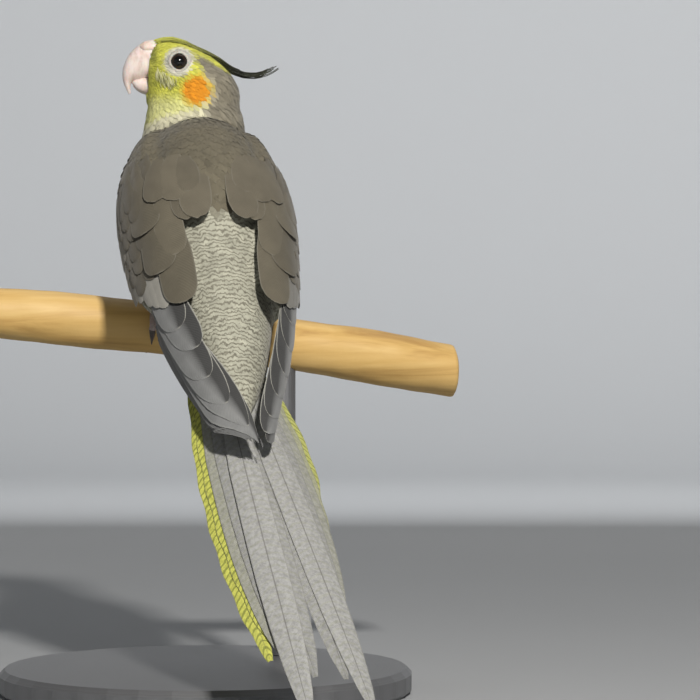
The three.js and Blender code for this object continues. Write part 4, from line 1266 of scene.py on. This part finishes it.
def clawPlace(side, toe):
    def place(v, a):
        shift, _, last, splay = toe
        start = last - np.sign(last) * claw["start"]
        bent = (shift + splay, start, start + np.sign(last) * claw["reach"], 0)
        middle, outward = roundBranch(side, bent, v, 1.5 - 0.5 * v)
        radius = np.interp(v, np.linspace(0, 1, len(claw["radii"])), claw["radii"])
        return tubeRound(middle, outward, radius * np.where((v == 0) | (v == 1), 0, 1), a)
    return place


def shankPlace(side):
    def place(v, a):
        top = stack(side * foot["side"], mixed(0, -4.0, v), mixed(11.2, 24, v))
        top[:, 2] += branchMiddle(np.array([side * foot["side"]]))[0, 2]
        rows = 0.1 * np.abs(np.sin(np.pi * v * 9))
        radius = (foot["shankRadius"] + 0.5 * (1 - smooth(v, 0, 0.35)) + rows) * roundEnds(v)
        return (top + stack(radius * np.sin(a), radius * np.cos(a), 0) + perchMiddle) * mm
    return place


footMaterial, g = newMaterial("scalySkin", 0.6, Subsurface_Weight=0.15, Subsurface_Scale=0.001)
cells = {"Vector": g.objectPlace(), "Scale": 950.0}
scales = g.node("ShaderNodeTexVoronoi", cells, feature="DISTANCE_TO_EDGE").outputs[0]
_, tone = g.speckle(240.0, (0.30, 0.235, 0.215), (0.44, 0.36, 0.33))
g.colour(g.mix(g.fit(scales, -9.0, 0.6, clamp=True), tone, (0.17, 0.13, 0.12)))
g.bump(scales, 0.0004, 0.7)
clawMaterial, g = newMaterial("clawHorn", 0.32)
g.colour(g.speckle(420.0, (0.05, 0.042, 0.038), (0.13, 0.105, 0.09))[1])
for side, name in ((-1, "left"), (1, "right")):
    bm = bmesh.new()
    for place in [toePlace(side, toe) for toe in toes.values()] + [shankPlace(side)]:
        part = wrapMesh("toe", 72, 20, place)
        bm.from_mesh(part)
        bpy.data.meshes.remove(part)
    footPiece = addObject("footSkin_" + name, smoothed(bm, "foot_" + name))
    fuse(footPiece, foot["voxel"], foot["softness"], 2)
    footPiece.data.materials.append(footMaterial)
    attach(footPiece, "root")
    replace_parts(footPiece, "foot_" + name)
    for toeName, toe in toes.items():
        clawName = name + "_" + toeName
        horn = wrapPiece("clawHorn_" + clawName, 20, 14, clawPlace(side, toe), clawMaterial)
        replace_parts(horn, "claw_" + clawName)

# Stand: satin metal, finely brushed round the base
metalMaterial, g = newMaterial("satinMetal", 0.5, Metallic=0.7)
brushed = g.node("ShaderNodeCombineXYZ", {"X": g.times(g.fromAxis(), 2600.0)}).outputs[0]
brushed, tone = g.speckle(1.0, (0.17, 0.172, 0.178), (0.24, 0.243, 0.25), brushed)
g.colour(tone)
g.set(g.shader.inputs["Roughness"], g.fit(brushed, 0.14, 0.42))
for name in ("stand_base", "stand_rod"):
    nodes[name].data.materials.clear()
    nodes[name].data.materials.append(metalMaterial)
print("branch, feet and stand dressed")

# The skin takes the coat's own material and markings
skinTint, skinBars = markings(places)
setValues(skin.data, "tint", skinTint)
setValues(skin.data, "bars", skinBars)
skinMap = unwrap(places)[np.concatenate(skinFaces)].astype(np.float32)
skin.data.uv_layers.new(name="OFBake").data.foreach_set("uv", skinMap.ravel())
skin.data.materials.append(coatMaterial)
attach(skin, "root")
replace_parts(skin, "torso", "neck", "head", "leg_left", "leg_right", "undertail")
